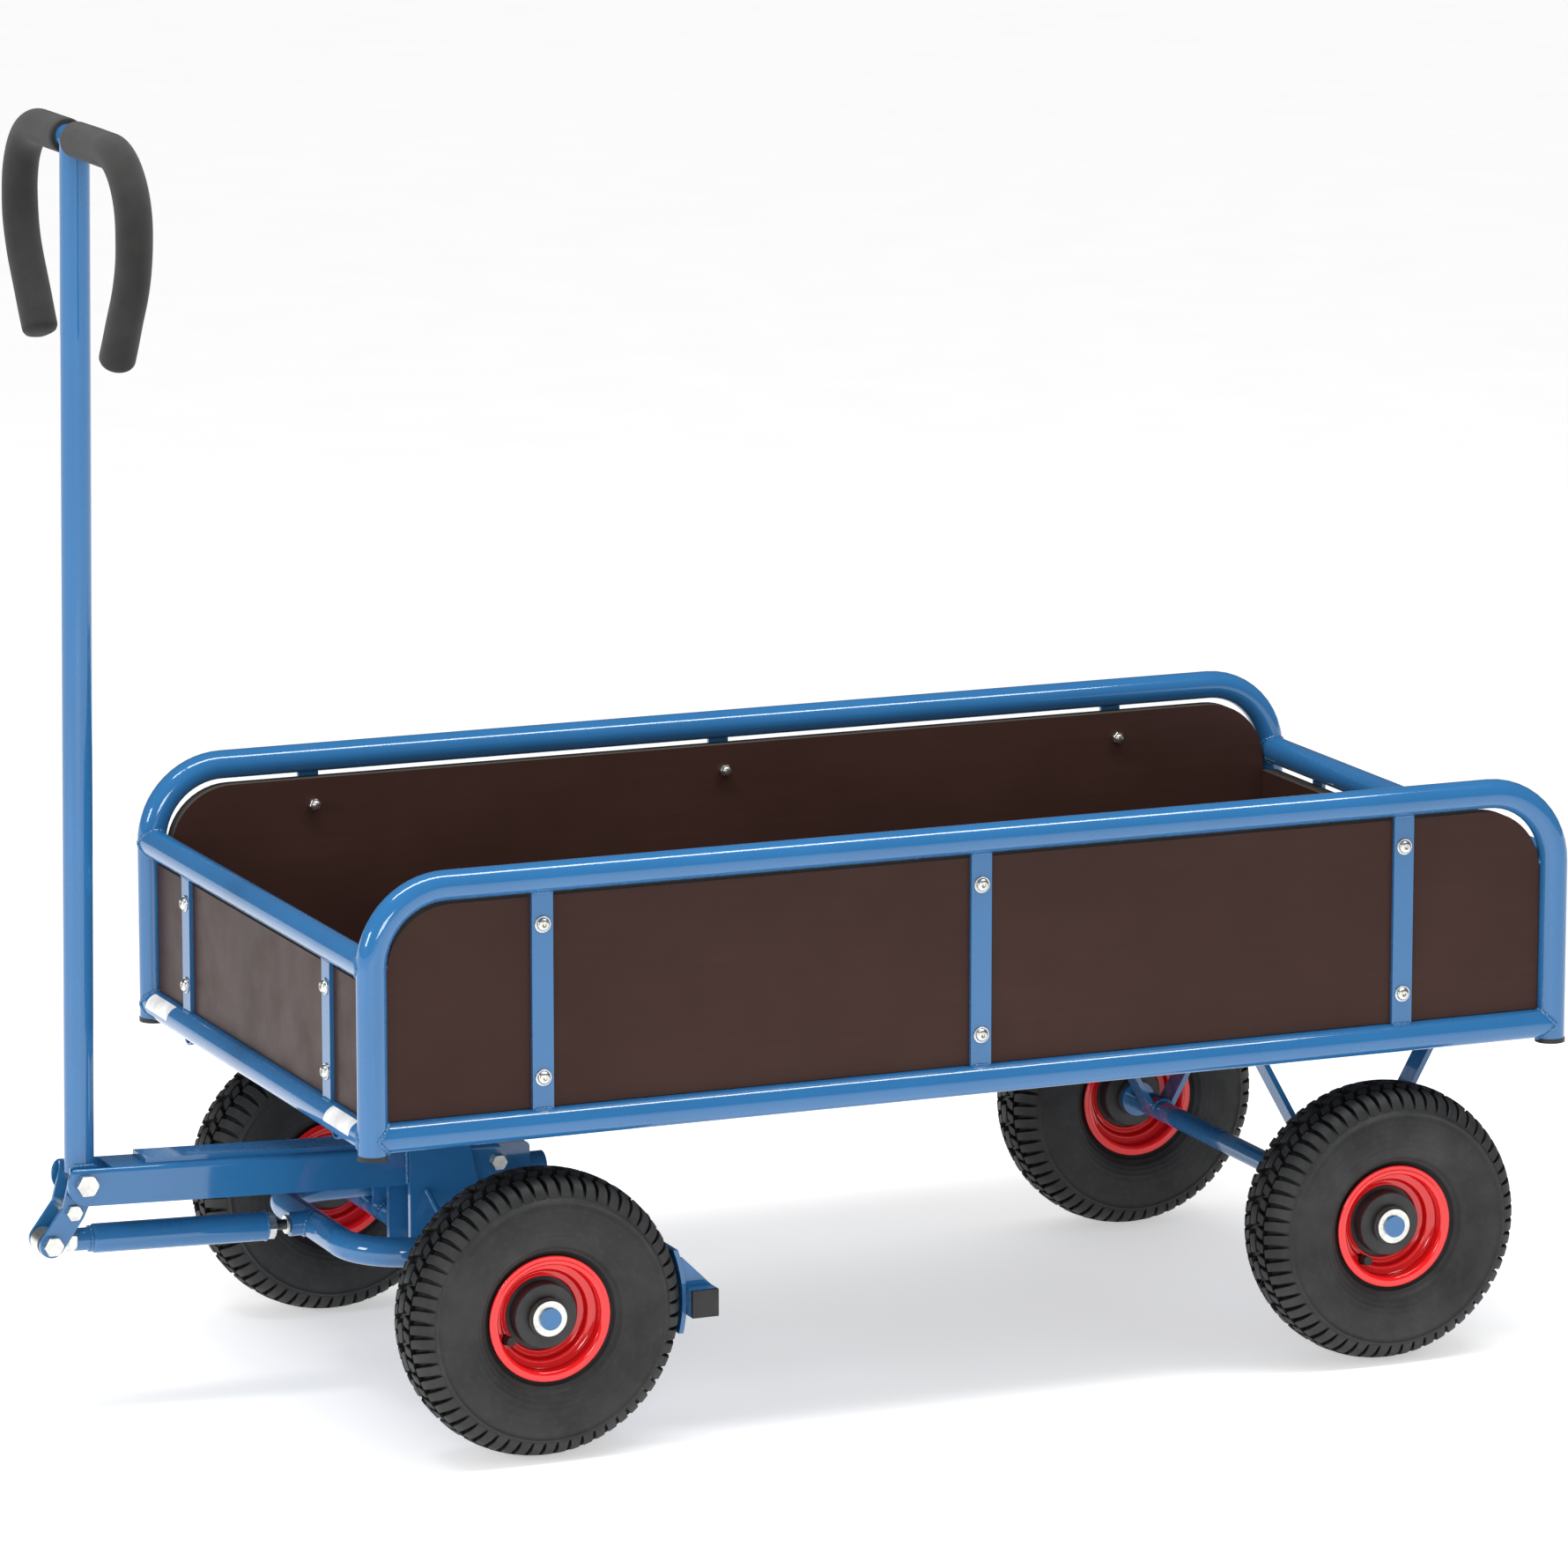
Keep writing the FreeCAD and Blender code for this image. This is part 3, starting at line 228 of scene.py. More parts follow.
# ---- materials ------------------------------------------------------------------------------
class Finish:
    """A Principled material whose colour, roughness and bump come from noise in object space."""

    def __init__(self, name, metallic=0.0, coat=0.0, coat_roughness=0.1, specular=0.5):
        self.material = bpy.data.materials.new(name)
        self.material.use_nodes = True
        self.tree = self.material.node_tree
        self.shader = self.tree.nodes["Principled BSDF"]
        self.shader.inputs["Metallic"].default_value = metallic
        self.shader.inputs["Coat Weight"].default_value = coat
        self.shader.inputs["Coat Roughness"].default_value = coat_roughness
        self.shader.inputs["Specular IOR Level"].default_value = specular
        self.place = self.node("ShaderNodeTexCoord")
        self.bump_out = None

    def node(self, kind, **settings):
        made = self.tree.nodes.new(kind)
        for key, value in settings.items():
            setattr(made, key, value)
        return made

    def link(self, source, target):
        self.tree.links.new(source, target)

    def noise(self, scale, detail=3.0, rough=0.5, stretch=(1, 1, 1)):
        mapping = self.node("ShaderNodeMapping")
        mapping.inputs["Scale"].default_value = stretch
        self.link(self.place.outputs["Object"], mapping.inputs["Vector"])
        made = self.node("ShaderNodeTexNoise")
        made.inputs["Scale"].default_value = scale
        made.inputs["Detail"].default_value = detail
        made.inputs["Roughness"].default_value = rough
        self.link(mapping.outputs["Vector"], made.inputs["Vector"])
        return made.outputs["Fac"]

    def ramp(self, source, stops):
        made = self.node("ShaderNodeValToRGB")
        band = made.color_ramp
        band.elements[0].position, band.elements[0].color = stops[0][0], (*stops[0][1], 1)
        band.elements[1].position, band.elements[1].color = stops[-1][0], (*stops[-1][1], 1)
        for position, colour in stops[1:-1]:
            band.elements.new(position).color = (*colour, 1)
        self.link(source, made.inputs["Fac"])
        return made.outputs["Color"]

    def remap(self, source, low, high, start=0.3, end=0.7):
        made = self.node("ShaderNodeMapRange")
        made.inputs["From Min"].default_value = start
        made.inputs["From Max"].default_value = end
        made.inputs["To Min"].default_value = low
        made.inputs["To Max"].default_value = high
        self.link(source, made.inputs["Value"])
        return made.outputs["Result"]

    def math(self, operation, a, b):
        made = self.node("ShaderNodeMath", operation=operation)
        for socket, value in zip(made.inputs, (a, b)):
            if isinstance(value, (int, float)):
                socket.default_value = value
            else:
                self.link(value, socket)
        return made.outputs["Value"]

    def mix(self, share, a, b):
        made = self.node("ShaderNodeMix", data_type="RGBA")
        for socket, value in zip((made.inputs[0], made.inputs[6], made.inputs[7]), (share, a, b)):
            if isinstance(value, tuple):
                socket.default_value = (*value, 1)
            elif isinstance(value, (int, float)):
                socket.default_value = value
            else:
                self.link(value, socket)
        return made.outputs[2]

    def crevice_shade(self, reach, lowest):
        """Painted shade: 1 on open surface, falling to the lowest value in crevices narrower than the
        reach.
        """
        open_share = self.node("ShaderNodeAmbientOcclusion", samples=4)
        open_share.inputs["Distance"].default_value = reach
        return self.remap(open_share.outputs["AO"], lowest, 1.0, 0.35, 0.95)

    def colour(self, source):
        self.link(source, self.shader.inputs["Base Color"])

    def roughness(self, source):
        self.link(source, self.shader.inputs["Roughness"])

    def bump(self, source, distance, strength=1.0):
        made = self.node("ShaderNodeBump")
        made.inputs["Strength"].default_value = strength
        made.inputs["Distance"].default_value = distance
        self.link(source, made.inputs["Height"])
        if self.bump_out:
            self.link(self.bump_out, made.inputs["Normal"])
        self.bump_out = made.outputs["Normal"]
        self.link(self.bump_out, self.shader.inputs["Normal"])


def shade(colour, share):
    return tuple(c * share for c in colour)


def powder_coat(name, colour, roughness=(0.24, 0.30), crevice_shade_floor=0.75):
    """Gloss powder coat: a slow drift in tone, fine orange peel, painted shade darkening the crevices, and
    softened edges.
    """
    look = Finish(name, coat=0.9, coat_roughness=0.06, specular=0.08)
    look.shader.inputs["Coat IOR"].default_value = 1.65
    soft = look.node("ShaderNodeBevel", samples=4)
    soft.inputs["Radius"].default_value = 0.0007
    look.bump_out = soft.outputs["Normal"]
    tone = look.ramp(look.noise(7.0, 2.0), [(0.3, shade(colour, 0.95)), (0.7, shade(colour, 1.04))])
    # Painted shade: ambient occlusion darkens the colour in crevices and recesses towards a near-black copy
    # of the paint.
    crevice_shade = look.crevice_shade(0.022, crevice_shade_floor)
    look.colour(look.mix(crevice_shade, shade(colour, 0.12), tone))
    look.roughness(look.remap(look.noise(60.0, 3.0), *roughness))
    look.bump(look.noise(420.0, 1.0), 0.00005, 0.035)
    return look.material


def film_board(name, axis):
    """Phenolic-faced plywood: smooth dark film on the faces, stained plies round the edges."""
    look = Finish(name, coat=0.0, specular=0.12)
    face = look.ramp(look.noise(5.0, 4.0, 0.6), [
        (0.3, (0.042, 0.0195, 0.0155)), (0.5, (0.048, 0.0225, 0.018)), (0.72, (0.056, 0.027, 0.022))])
    grain_stretch = {"X": (1, 0.06, 1), "Y": (0.05, 1, 1), "Z": (0.05, 1, 1)}[axis]
    grain = look.noise(160.0, 4.0, 0.65, grain_stretch)
    face = look.mix(look.remap(grain, 0.0, 0.30, 0.35, 0.75), face, (0.034, 0.0165, 0.0135))
    split = look.node("ShaderNodeSeparateXYZ")
    look.link(look.place.outputs["Normal"], split.inputs["Vector"])
    facing = look.math("GREATER_THAN", look.math("ABSOLUTE", split.outputs[axis], 0), 0.7)
    place = look.node("ShaderNodeSeparateXYZ")
    look.link(look.place.outputs["Object"], place.inputs["Vector"])
    layers = look.math("SINE", look.math("MULTIPLY", place.outputs[axis], 2 * math.pi / 0.0026), 0)
    edge = look.mix(look.remap(layers, 0.0, 1.0, -0.4, 0.4), (0.050, 0.045, 0.040), (0.125, 0.112, 0.098))
    edge = look.mix(look.remap(look.noise(300.0, 3.0), 0.0, 0.6), edge, (0.070, 0.062, 0.054))
    look.colour(look.mix(facing, edge, face))
    look.roughness(look.mix(facing, (0.75, 0.75, 0.75),
                            look.ramp(look.noise(26.0, 4.0), [(0.3, (0.30,) * 3), (0.7, (0.42,) * 3)])))
    look.bump(look.noise(900.0, 2.0), 0.00005, 0.35)
    look.bump(grain, 0.00006, 0.3)
    return look.material


def tyre_rubber():
    look = Finish("tyre rubber", specular=0.35)
    tone = look.ramp(look.noise(16.0, 5.0, 0.6), [
        (0.28, (0.013, 0.0135, 0.014)), (0.52, (0.023, 0.0235, 0.024)), (0.75, (0.037, 0.037, 0.0365))])
    dust = look.remap(look.noise(120.0, 6.0, 0.7), 0.0, 0.35, 0.5, 0.8)
    dusted = look.mix(dust, tone, (0.058, 0.055, 0.051))
    # Painted shade: ambient occlusion turns the tread's grooves and other crevices near black.
    look.colour(look.mix(look.crevice_shade(0.012, 0.0), (0.004, 0.004, 0.004), dusted))
    look.roughness(look.remap(look.noise(40.0, 4.0), 0.50, 0.68))
    look.bump(look.noise(700.0, 4.0, 0.6), 0.00012, 0.5)
    look.bump(look.noise(90.0, 3.0), 0.0004, 0.4)
    return look.material


def foam():
    """Closed-cell foam sleeve: dull, faintly mottled, with fine pores."""
    look = Finish("foam", specular=0.2)
    look.shader.inputs["Sheen Weight"].default_value = 0.12
    look.shader.inputs["Sheen Roughness"].default_value = 0.6
    tone = look.ramp(look.noise(30.0, 5.0, 0.6), [
        (0.3, (0.015, 0.015, 0.0148)), (0.7, (0.024, 0.0238, 0.0232))])
    pores = look.node("ShaderNodeTexVoronoi")
    pores.inputs["Scale"].default_value = 1500.0
    look.link(look.place.outputs["Object"], pores.inputs["Vector"])
    pits = look.remap(pores.outputs["Distance"], 1.0, 0.0, 0.0, 0.35)
    look.colour(look.mix(look.math("MULTIPLY", pits, 0.35), tone, (0.022, 0.022, 0.022)))
    look.roughness(look.remap(look.noise(50.0, 3.0), 0.80, 0.95))
    look.bump(pores.outputs["Distance"], 0.0004, 0.35)
    look.bump(look.noise(60.0, 3.0), 0.0008, 0.25)
    return look.material


def moulded(name, colour, roughness):
    look = Finish(name, specular=0.4)
    look.colour(look.ramp(look.noise(45.0, 3.0), [(0.3, shade(colour, 0.8)), (0.7, shade(colour, 1.25))]))
    look.roughness(look.remap(look.noise(70.0, 3.0), roughness - 0.07, roughness + 0.07))
    look.bump(look.noise(1200.0, 2.0), 0.00008, 0.5)
    return look.material


def zinc_plate(name, colour):
    look = Finish(name, metallic=1.0)
    look.colour(look.ramp(look.noise(140.0, 4.0, 0.6), [
        (0.3, shade(colour, 0.82)), (0.7, shade(colour, 1.08))]))
    look.roughness(look.remap(look.noise(500.0, 4.0), 0.26, 0.46))
    look.bump(look.noise(1500.0, 3.0), 0.00003, 0.4)
    return look.material


BLUE = (0.024, 0.146, 0.352)
paint = powder_coat("blue powder coat", BLUE)
# The red wheel paint takes a deeper painted shade in the rim's dish.
rim_red = powder_coat("red wheel paint", (0.84, 0.009, 0.011), (0.20, 0.28), 0.62)
boards = {axis: film_board("film board " + axis, axis) for axis in "XYZ"}
rubber = tyre_rubber()
tube_rubber = moulded("tube rubber", (0.022, 0.022, 0.022), 0.55)
grip_foam = foam()
black_plastic = moulded("black plastic", (0.017, 0.017, 0.018), 0.42)
hub_plastic = moulded("hub plastic", (0.033, 0.034, 0.036), 0.50)
zinc = zinc_plate("bright zinc", (0.80, 0.80, 0.76))
label_vinyl = moulded("white vinyl", (0.80, 0.80, 0.80), 0.35)

slot_finish = {
    "frame_paint": paint, "rim_paint": rim_red, "tyre_rubber": rubber, "tube_rubber": tube_rubber,
    "hub_plastic": hub_plastic, "zinc": zinc, "black_plastic": black_plastic, "grip_foam": grip_foam,
}
board_axis = {"side_panel_left": "Y", "side_panel_right": "Y", "front_panel": "X", "rear_panel": "X",
              "floor_panel": "Z"}
for entry in frame["record"]["subparts"]:
    name = entry["node"]
    chosen = boards[board_axis[name]] if name in board_axis else slot_finish[entry["material_slot"]]
    mesh = nodes[name].data
    mesh.materials.clear()
    mesh.materials.append(chosen)


# ---- treaded tyres --------------------------------------------------------------------------
TREAD_PITCHES = 60
TREAD_DEPTH = 5.2
CASING = [
    (130.0, 0.0), (129.7, 6.0), (129.0, 12.0), (127.7, 18.0), (125.9, 24.0), (123.4, 29.4), (120.0, 33.6),
    (116.0, 36.4), (111.0, 38.6), (105.0, 40.4), (98.0, 41.8), (90.0, 42.4), (82.0, 42.0), (75.0, 40.6),
    (69.5, 38.2), (65.0, 34.8), (62.0, 31.6), (60.0, 29.4), (58.3, 28.6), (57.2, 28.4),
]


def casing_table():
    """Arc length, point and outward normal down one side of the casing's outline."""
    table = []
    length = 0.0
    for i, (r, y) in enumerate(CASING):
        if i:
            length += math.hypot(r - CASING[i - 1][0], y - CASING[i - 1][1])
        before, after = CASING[max(i - 1, 0)], CASING[min(i + 1, len(CASING) - 1)]
        tangent = (after[0] - before[0], after[1] - before[1])
        size = math.hypot(*tangent)
        normal = (tangent[1] / size, -tangent[0] / size) if i else (1.0, 0.0)
        table.append((length, r, y, normal))
    return table


CASING_TABLE = casing_table()


def on_casing(s, height):
    """(radius, y) at signed arc length s from the crown, raised by height along the normal."""
    side = 1 if s >= 0 else -1
    s = abs(s)
    for (s0, r0, y0, n0), (s1, r1, y1, n1) in zip(CASING_TABLE, CASING_TABLE[1:]):
        if s <= s1:
            t = (s - s0) / (s1 - s0)
            r, y = r0 + (r1 - r0) * t, y0 + (y1 - y0) * t
            n = (n0[0] + (n1[0] - n0[0]) * t, n0[1] + (n1[1] - n0[1]) * t)
            return r + n[0] * height, side * (y + n[1] * height)
    s1, r1, y1, n1 = CASING_TABLE[-1]
    return r1 + n1[0] * height, side * (y1 + n1[1] * height)


def casing_shape():
    """The tyre's skin at groove depth on the crown, with rib rings on the sidewall."""
    rings = ((108.2, 1.7, 1.2), (101.5, 0.3, 0.7), (76.5, 0.35, 0.8), (67.5, 0.8, 1.6), (71.5, 0.5, 1.2),
             (62.5, 0.5, 1.0))
    total = CASING_TABLE[-1][0]
    profile = []
    count = 96
    for k in range(-count, count + 1):
        s = total * k / count
        r = on_casing(s, 0.0)[0]
        sunk = TREAD_DEPTH * min(1.0, max(0.0, (r - 111.0) / 10.0)) ** 0.8
        raised = sum(h * math.exp(-((r - ring) / w) ** 2) for ring, h, w in rings) if r < 112 else 0.0
        profile.append(on_casing(s, raised - sunk))
    inner = [(54.5, 27.0), (52.4, 26.6), (51.2, 22.0), (57.0, 20.5),
             (72.0, 32.0), (95.0, 36.0), (113.0, 27.0), (119.0, 0.0)]
    mirrored = [(r, -y) for r, y in reversed(inner[:-1])]
    return lathe(profile + inner + mirrored, (0, 0, 0), 240)


def lug(stations, phase):
    """One raised block: stations are (arc length, centre, half width, height), angles in pitches."""
    shape = Shape()
    pitch = 2 * math.pi / TREAD_PITCHES
    bevel = 0.55
    root = -TREAD_DEPTH - 0.4
    rows = []
    for s, centre, half, height in stations:
        row = []
        for share, lift in ((-1.0, root), (-0.93, height - bevel), (-0.82, height), (0.0, height),
                            (0.82, height), (0.93, height - bevel), (1.0, root)):
            r, y = on_casing(s, lift)
            turn = (phase + centre + share * half) * pitch
            row.append(Vector((r * math.cos(turn), y, r * math.sin(turn))))
        rows.append(row)
    shape.grid(rows, cap_start=True, cap_end=True)
    base = len(rows[0])
    shape.faces.extend((r * base, (r + 1) * base, (r + 1) * base + base - 1, r * base + base - 1)
                       for r in range(len(rows) - 1))
    return shape


SHOULDER_LUG = (
    (19.0, -0.10, 0.31, 0.0), (20.2, -0.10, 0.34, 0.0), (25.0, -0.02, 0.36, 0.0), (29.5, 0.03, 0.37, 0.0),
    (33.5, 0.05, 0.38, 0.0), (37.5, 0.05, 0.40, 0.0), (41.0, 0.05, 0.42, 0.0), (44.0, 0.04, 0.45, 0.0),
    (46.0, 0.04, 0.46, -0.15),
)
INNER_BLOCK = (
    (7.6, 0.16, 0.30, 0.0), (8.4, 0.14, 0.35, 0.0), (12.0, 0.04, 0.37, 0.0), (16.2, -0.06, 0.34, 0.0),
    (17.0, -0.08, 0.30, 0.0),
)
MIDDLE_BLOCK = (
    (-5.2, -0.12, 0.62, 0.0), (-4.4, -0.10, 0.68, 0.0), (0.0, 0.0, 0.74, 0.0), (4.4, 0.10, 0.68, 0.0),
    (5.2, 0.12, 0.62, 0.0),
)


def to_side(stations, side):
    return [(side * s, centre, half, height) for s, centre, half, height in stations]


def tread_shape():
    """Shoulder lugs, zigzag inner blocks and a broken centre row, repeated round the tyre."""
    shape = Shape()
    for k in range(TREAD_PITCHES):
        for side in (1, -1):
            phase = k + (0.5 if side < 0 else 0.0)
            shape.join(lug(to_side(SHOULDER_LUG, side), phase))
            shape.join(lug(to_side(INNER_BLOCK, side), phase + 0.25))
        if k % 2 == 0:
            shape.join(lug(MIDDLE_BLOCK, k + 0.4))
    return shape


tyre_shape = casing_shape()
tyre_shape.join(tread_shape())
for name, (x, side) in WHEELS.items():
    made = Shape()
    spin = Matrix.Rotation(math.radians(7.0 * x / 100), 4, "Y")
    made.join(tyre_shape, Matrix.Translation((x, side * WHEEL_Y, WHEEL_Z)) @ spin)
    tyre = made.object("treaded_tyre_" + name, rubber, 32.0)
    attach(tyre, "wheel_" + name)
    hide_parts("tyre_" + name)


# ---- foam grips -----------------------------------------------------------------------------
FOAM_R = 16.5
FOAM_END_ROUND = 7.0
GRIP_BAR_R = 11.0
GRIP_TOP_Z = 1157.0
GRIP_HALF_WIDTH = 159.0
GRIP_END_Z = 979.0
GRIP_BENDS = (64.0, 110.0)
GRIP_SHOULDER_Z = 1090.0
GRIP_SIDE_TURN = math.radians(32)
STEM_LEAN = math.radians(0.75)
STEM_SETBACK = 1.6
FOAM_OVERHANG = 9


def grip_points(side, bare_edge):
    """Corners of one half of the grip bar's line, from its bare middle to the sleeve's end."""
    top_x = PIVOT_X - STEM_SETBACK - math.tan(STEM_LEAN) * (GRIP_TOP_Z - PIVOT_Z)
    bend = GRIP_BENDS[1]
    knee_y = GRIP_HALF_WIDTH - bend * (1 - math.cos(GRIP_SIDE_TURN))
    knee_z = GRIP_SHOULDER_Z - bend * math.sin(GRIP_SIDE_TURN)
    end_y = knee_y - (knee_z - GRIP_END_Z) * math.tan(GRIP_SIDE_TURN)
    corner_z = GRIP_SHOULDER_Z - bend * math.tan(GRIP_SIDE_TURN / 2)
    middle = Vector((top_x, bare_edge, GRIP_TOP_Z))
    shoulder = Vector((top_x, side * GRIP_HALF_WIDTH, GRIP_TOP_Z))
    knee = Vector((top_x, side * GRIP_HALF_WIDTH, corner_z))
    end = Vector((top_x, side * end_y, GRIP_END_Z))
    end += (end - knee).normalized() * FOAM_OVERHANG
    return [middle, shoulder, knee, end]


def foam_sleeve(side, bare_edge, seed):
    """Sleeve with a trimmed edge at the bare bar, a rounded closed end, and a slightly uneven skin."""
    path = resampled(filleted(grip_points(side, bare_edge), GRIP_BENDS, 2.0), 2.5)
    count = len(path)
    length = sum((b - a).length for a, b in zip(path, path[1:]))
    step = length / (count - 1)
    shape = Shape()
    rows = []
    sides = 40
    for i, (point, across, up) in enumerate(frames_along(path, False)):
        to_end = (count - 1 - i) * step
        radius = FOAM_R - 0.05
        if to_end < FOAM_END_ROUND:
            short = FOAM_END_ROUND - to_end
            radius = FOAM_R - FOAM_END_ROUND + math.sqrt(max(0.0, FOAM_END_ROUND ** 2 - short ** 2))
        if i == 0:
            radius = FOAM_R - 1.2
        row = []
        for k in range(sides):
            turn = 2 * math.pi * k / sides
            outward = across * math.cos(turn) + up * math.sin(turn)
            spot = Vector((i * step * 0.03 + seed, math.cos(turn), math.sin(turn)))
            uneven = 0.35 * noise.noise(spot) - 0.3
            row.append(point + outward * (radius + uneven))
        rows.append(row)
    shape.grid(rows, close_columns=True, cap_start=True, cap_end=True)
    return shape


for name, side, bare_edge, seed in (("left", 1, 5.0, 3.0), ("right", -1, -20.0, 9.0)):
    sleeve = foam_sleeve(side, bare_edge, seed).object("foam_sleeve_" + name, grip_foam, 50.0)
    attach(sleeve, "handle")
    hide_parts("foam_grip_" + name)


# ---- panel bolts ----------------------------------------------------------------------------
def bolt_shape():
    """Washer and button head with a hex socket outside, along +Y; nut_shape makes the dome nut inside."""
    shape = Shape()
    washer = [(0.0, 0.0), (7.3, 0.0), (7.5, 0.25), (7.5, 1.15), (7.2, 1.4), (0.0, 1.4)]
    shape.join(lathe(washer, (0, 0, 0), 48, False))
    head = [(0.0, 1.3), (6.1, 1.3), (6.2, 1.7), (5.9, 2.7), (5.1, 3.9), (4.2, 4.6), (3.4, 4.95), (2.6, 5.0)]
    shape.join(lathe(head, (0, 0, 0), 24, False))
    shape.join(hex_socket(((2.6, 5.0, 0.0), (2.2, 4.9, 1.0), (2.1, 2.6, 1.0), (0.9, 2.1, 1.0))))
    return shape


def floor_screw_shape():
    """Low lens head with a hex socket on a shank, along +Y from the board's top."""
    outline = [(0.0, -15.0), (2.9, -15.0), (2.9, 0.02), (5.3, 0.02), (5.2, 0.4), (4.2, 0.85), (2.2, 1.1)]
    shape = lathe(outline, (0, 0, 0), 24, False)
    shape.join(hex_socket(((2.2, 1.1, 0.0), (1.85, 1.05, 1.0), (1.8, -0.8, 1.0), (0.8, -1.1, 1.0))))
    return shape


def hex_socket(stations):
    """Recess whose outline goes from a circle to a hexagon; stations are (radius, y, share)."""
    rows = []
    for r, y, share in stations:
        row = []
        for k in range(24):
            turn = math.radians(15 * k)
            reach = r * flat_round(k, share)
            row.append(Vector((reach * math.cos(turn), y, reach * math.sin(turn))))
        rows.append(row)
    shape = Shape()
    shape.grid(rows, close_columns=True, cap_end=True)
    return shape


def flat_round(k, share):
    """Pulls a circle's points in to the flats of a hexagon by the given share."""
    within = math.radians(15 * (k % 4) - 30)
    return 1 + share * (math.cos(math.radians(30)) / math.cos(within) - 1)


def nut_shape():
    shape = Shape()
    corner = 5.0 / math.cos(math.radians(30))
    rows = []
    for r_share, y in ((0.95, 0.0), (1.0, -0.4), (1.0, -4.5), (0.93, -5.0)):
        rows.append([Vector((corner * r_share * math.cos(math.radians(60 * k)), y,
                             corner * r_share * math.sin(math.radians(60 * k)))) for k in range(6)])
    shape.grid(rows, close_columns=True, cap_start=True, cap_end=True)
    dome = [(0.0, -4.9), (4.7, -4.9), (4.6, -6.0), (4.2, -7.2), (3.4, -8.2), (2.2, -8.8), (0.0, -9.0)]
    shape.join(lathe(dome, (0, 0, 0), 40, False))
    return shape


def bolt_places():
    places = []
    for side, bars in ((1, LEFT_BAR_X), (-1, RIGHT_BAR_X)):
        for x in bars:
            for z in SIDE_BOLT_Z:
                places.append((Vector((x, side * (POST_Y + BAR_THICKNESS), z)), Vector((0, side, 0))))
    for end in (1, -1):
        for y in END_BAR_Y:
            for z in END_BOLT_Z:
                places.append((Vector((end * (POST_X + BAR_THICKNESS), y, z)), Vector((end, 0, 0))))
    return places


bolts = Shape()
outer_part, inner_part = bolt_shape(), nut_shape()
for index, (seat, outward) in enumerate(bolt_places()):
    twist = Matrix.Rotation(math.radians(37.0 * index), 4, "Y")
    facing = Vector((0, 1, 0)).rotation_difference(outward).to_matrix().to_4x4()
    bolts.join(outer_part, Matrix.Translation(seat) @ facing @ twist)
    inside = seat - outward * (BAR_THICKNESS + PANEL_THICKNESS)
    bolts.join(inner_part, Matrix.Translation(inside) @ facing @ twist)
upward = Vector((0, 1, 0)).rotation_difference(Vector((0, 0, 1))).to_matrix().to_4x4()
floor_screw = floor_screw_shape()
for x in CROSS_X:
    for y in (FLOOR_SCREW_Y, -FLOOR_SCREW_Y):
        bolts.join(floor_screw, Matrix.Translation((x, y, FLOOR_TOP_Z)) @ upward)
bolt_set = bolts.object("panel_bolt_set", zinc, 28.0)
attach(bolt_set, "chassis")
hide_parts("panel_fasteners")


# ---- weld beads -----------------------------------------------------------------------------
def bead(path, radius, closed=False, seed=0.0):
    """Rippled weld bead along a path."""
    points = resampled(path, 0.75, closed)
    ripple = 3.6

    def size(i):
        wave = abs(math.sin(math.pi * i * 0.75 / ripple))
        drift = noise.noise(Vector((i * 0.05, seed, 0.0)))
        end = 1.0 if closed else min(1.0, 0.55 + 0.15 * min(i, len(points) - 1 - i))
        return radius * end * (0.76 + 0.28 * wave + 0.12 * drift)

    return sweep(points, size, 10, closed)


def seam(start, end, radius, seed):
    """Straight weld bead between two points."""
    return bead([Vector(start), Vector(end)], radius, False, seed)


def saddle_ring(post, along, radius):
    """Where a rail of the tube's size meets a post: the joint's closed curve."""
    points = []
    for k in range(72):
        turn = 2 * math.pi * k / 72
        across = Vector((0, 1, 0)) if abs(along.x) > 0.5 else Vector((1, 0, 0))
        reach = radius * abs(math.sin(turn)) + 0.4
        points.append(post + across * (radius * math.cos(turn)) + Vector((0, 0, radius * math.sin(turn)))
                      + along * reach)
    return points


def circle(centre, u, v, radius, start=0.0, end=360.0, steps=48):
    points = []
    full = abs(end - start) >= 359.9
    for k in range(steps if full else steps + 1):
        turn = math.radians(start + (end - start) * k / steps)
        points.append(Vector(centre) + (Vector(u) * math.cos(turn) + Vector(v) * math.sin(turn)) * radius)
    return points


def tray_welds():
    """Rings where the rails meet the posts, and short beads at the flat bars' ends."""
    shape = Shape()
    seed = 0.0
    for sx in (1, -1):
        for sy in (1, -1):
            for z, along in ((LOWER_RAIL_Z, Vector((-sx, 0, 0))), (LOWER_RAIL_Z, Vector((0, -sy, 0))),
                             (END_RAIL_Z, Vector((0, -sy, 0)))):
                seed += 1.7
                ring = saddle_ring(Vector((sx * POST_X, sy * POST_Y, z)), along, TUBE_R)
                shape.join(bead(ring, 1.9, True, seed))
    half = BAR_WIDTH / 2 - 1
    bar_seat = 12.9
    for side, bars in ((1, LEFT_BAR_X), (-1, RIGHT_BAR_X)):
        y = side * (POST_Y + BAR_THICKNESS)
        for x in bars:
            for z in (LOWER_RAIL_Z + bar_seat, SIDE_RAIL_Z - bar_seat):
                seed += 1.7
                shape.join(seam((x - half, y, z), (x + half, y, z), 2.2, seed))
    for end in (1, -1):
        x = end * (POST_X + BAR_THICKNESS)
        for y in END_BAR_Y:
            for z in (LOWER_RAIL_Z + bar_seat, END_RAIL_Z - bar_seat):
                seed += 1.7
                shape.join(seam((x, y - half, z), (x, y + half, z), 1.9, seed))
    return shape


def ring(centre, axis, radius, start=0.0, end=360.0):
    """Circle or arc about an axis; 0 degrees points up, or forward about an upright axis."""
    axis = Vector(axis).normalized()
    u = Vector((0, 0, 1)) if abs(axis.z) < 0.9 else Vector((1, 0, 0))
    u = (u - axis * u.dot(axis)).normalized()
    return circle(centre, u, axis.cross(u), radius, start, end)


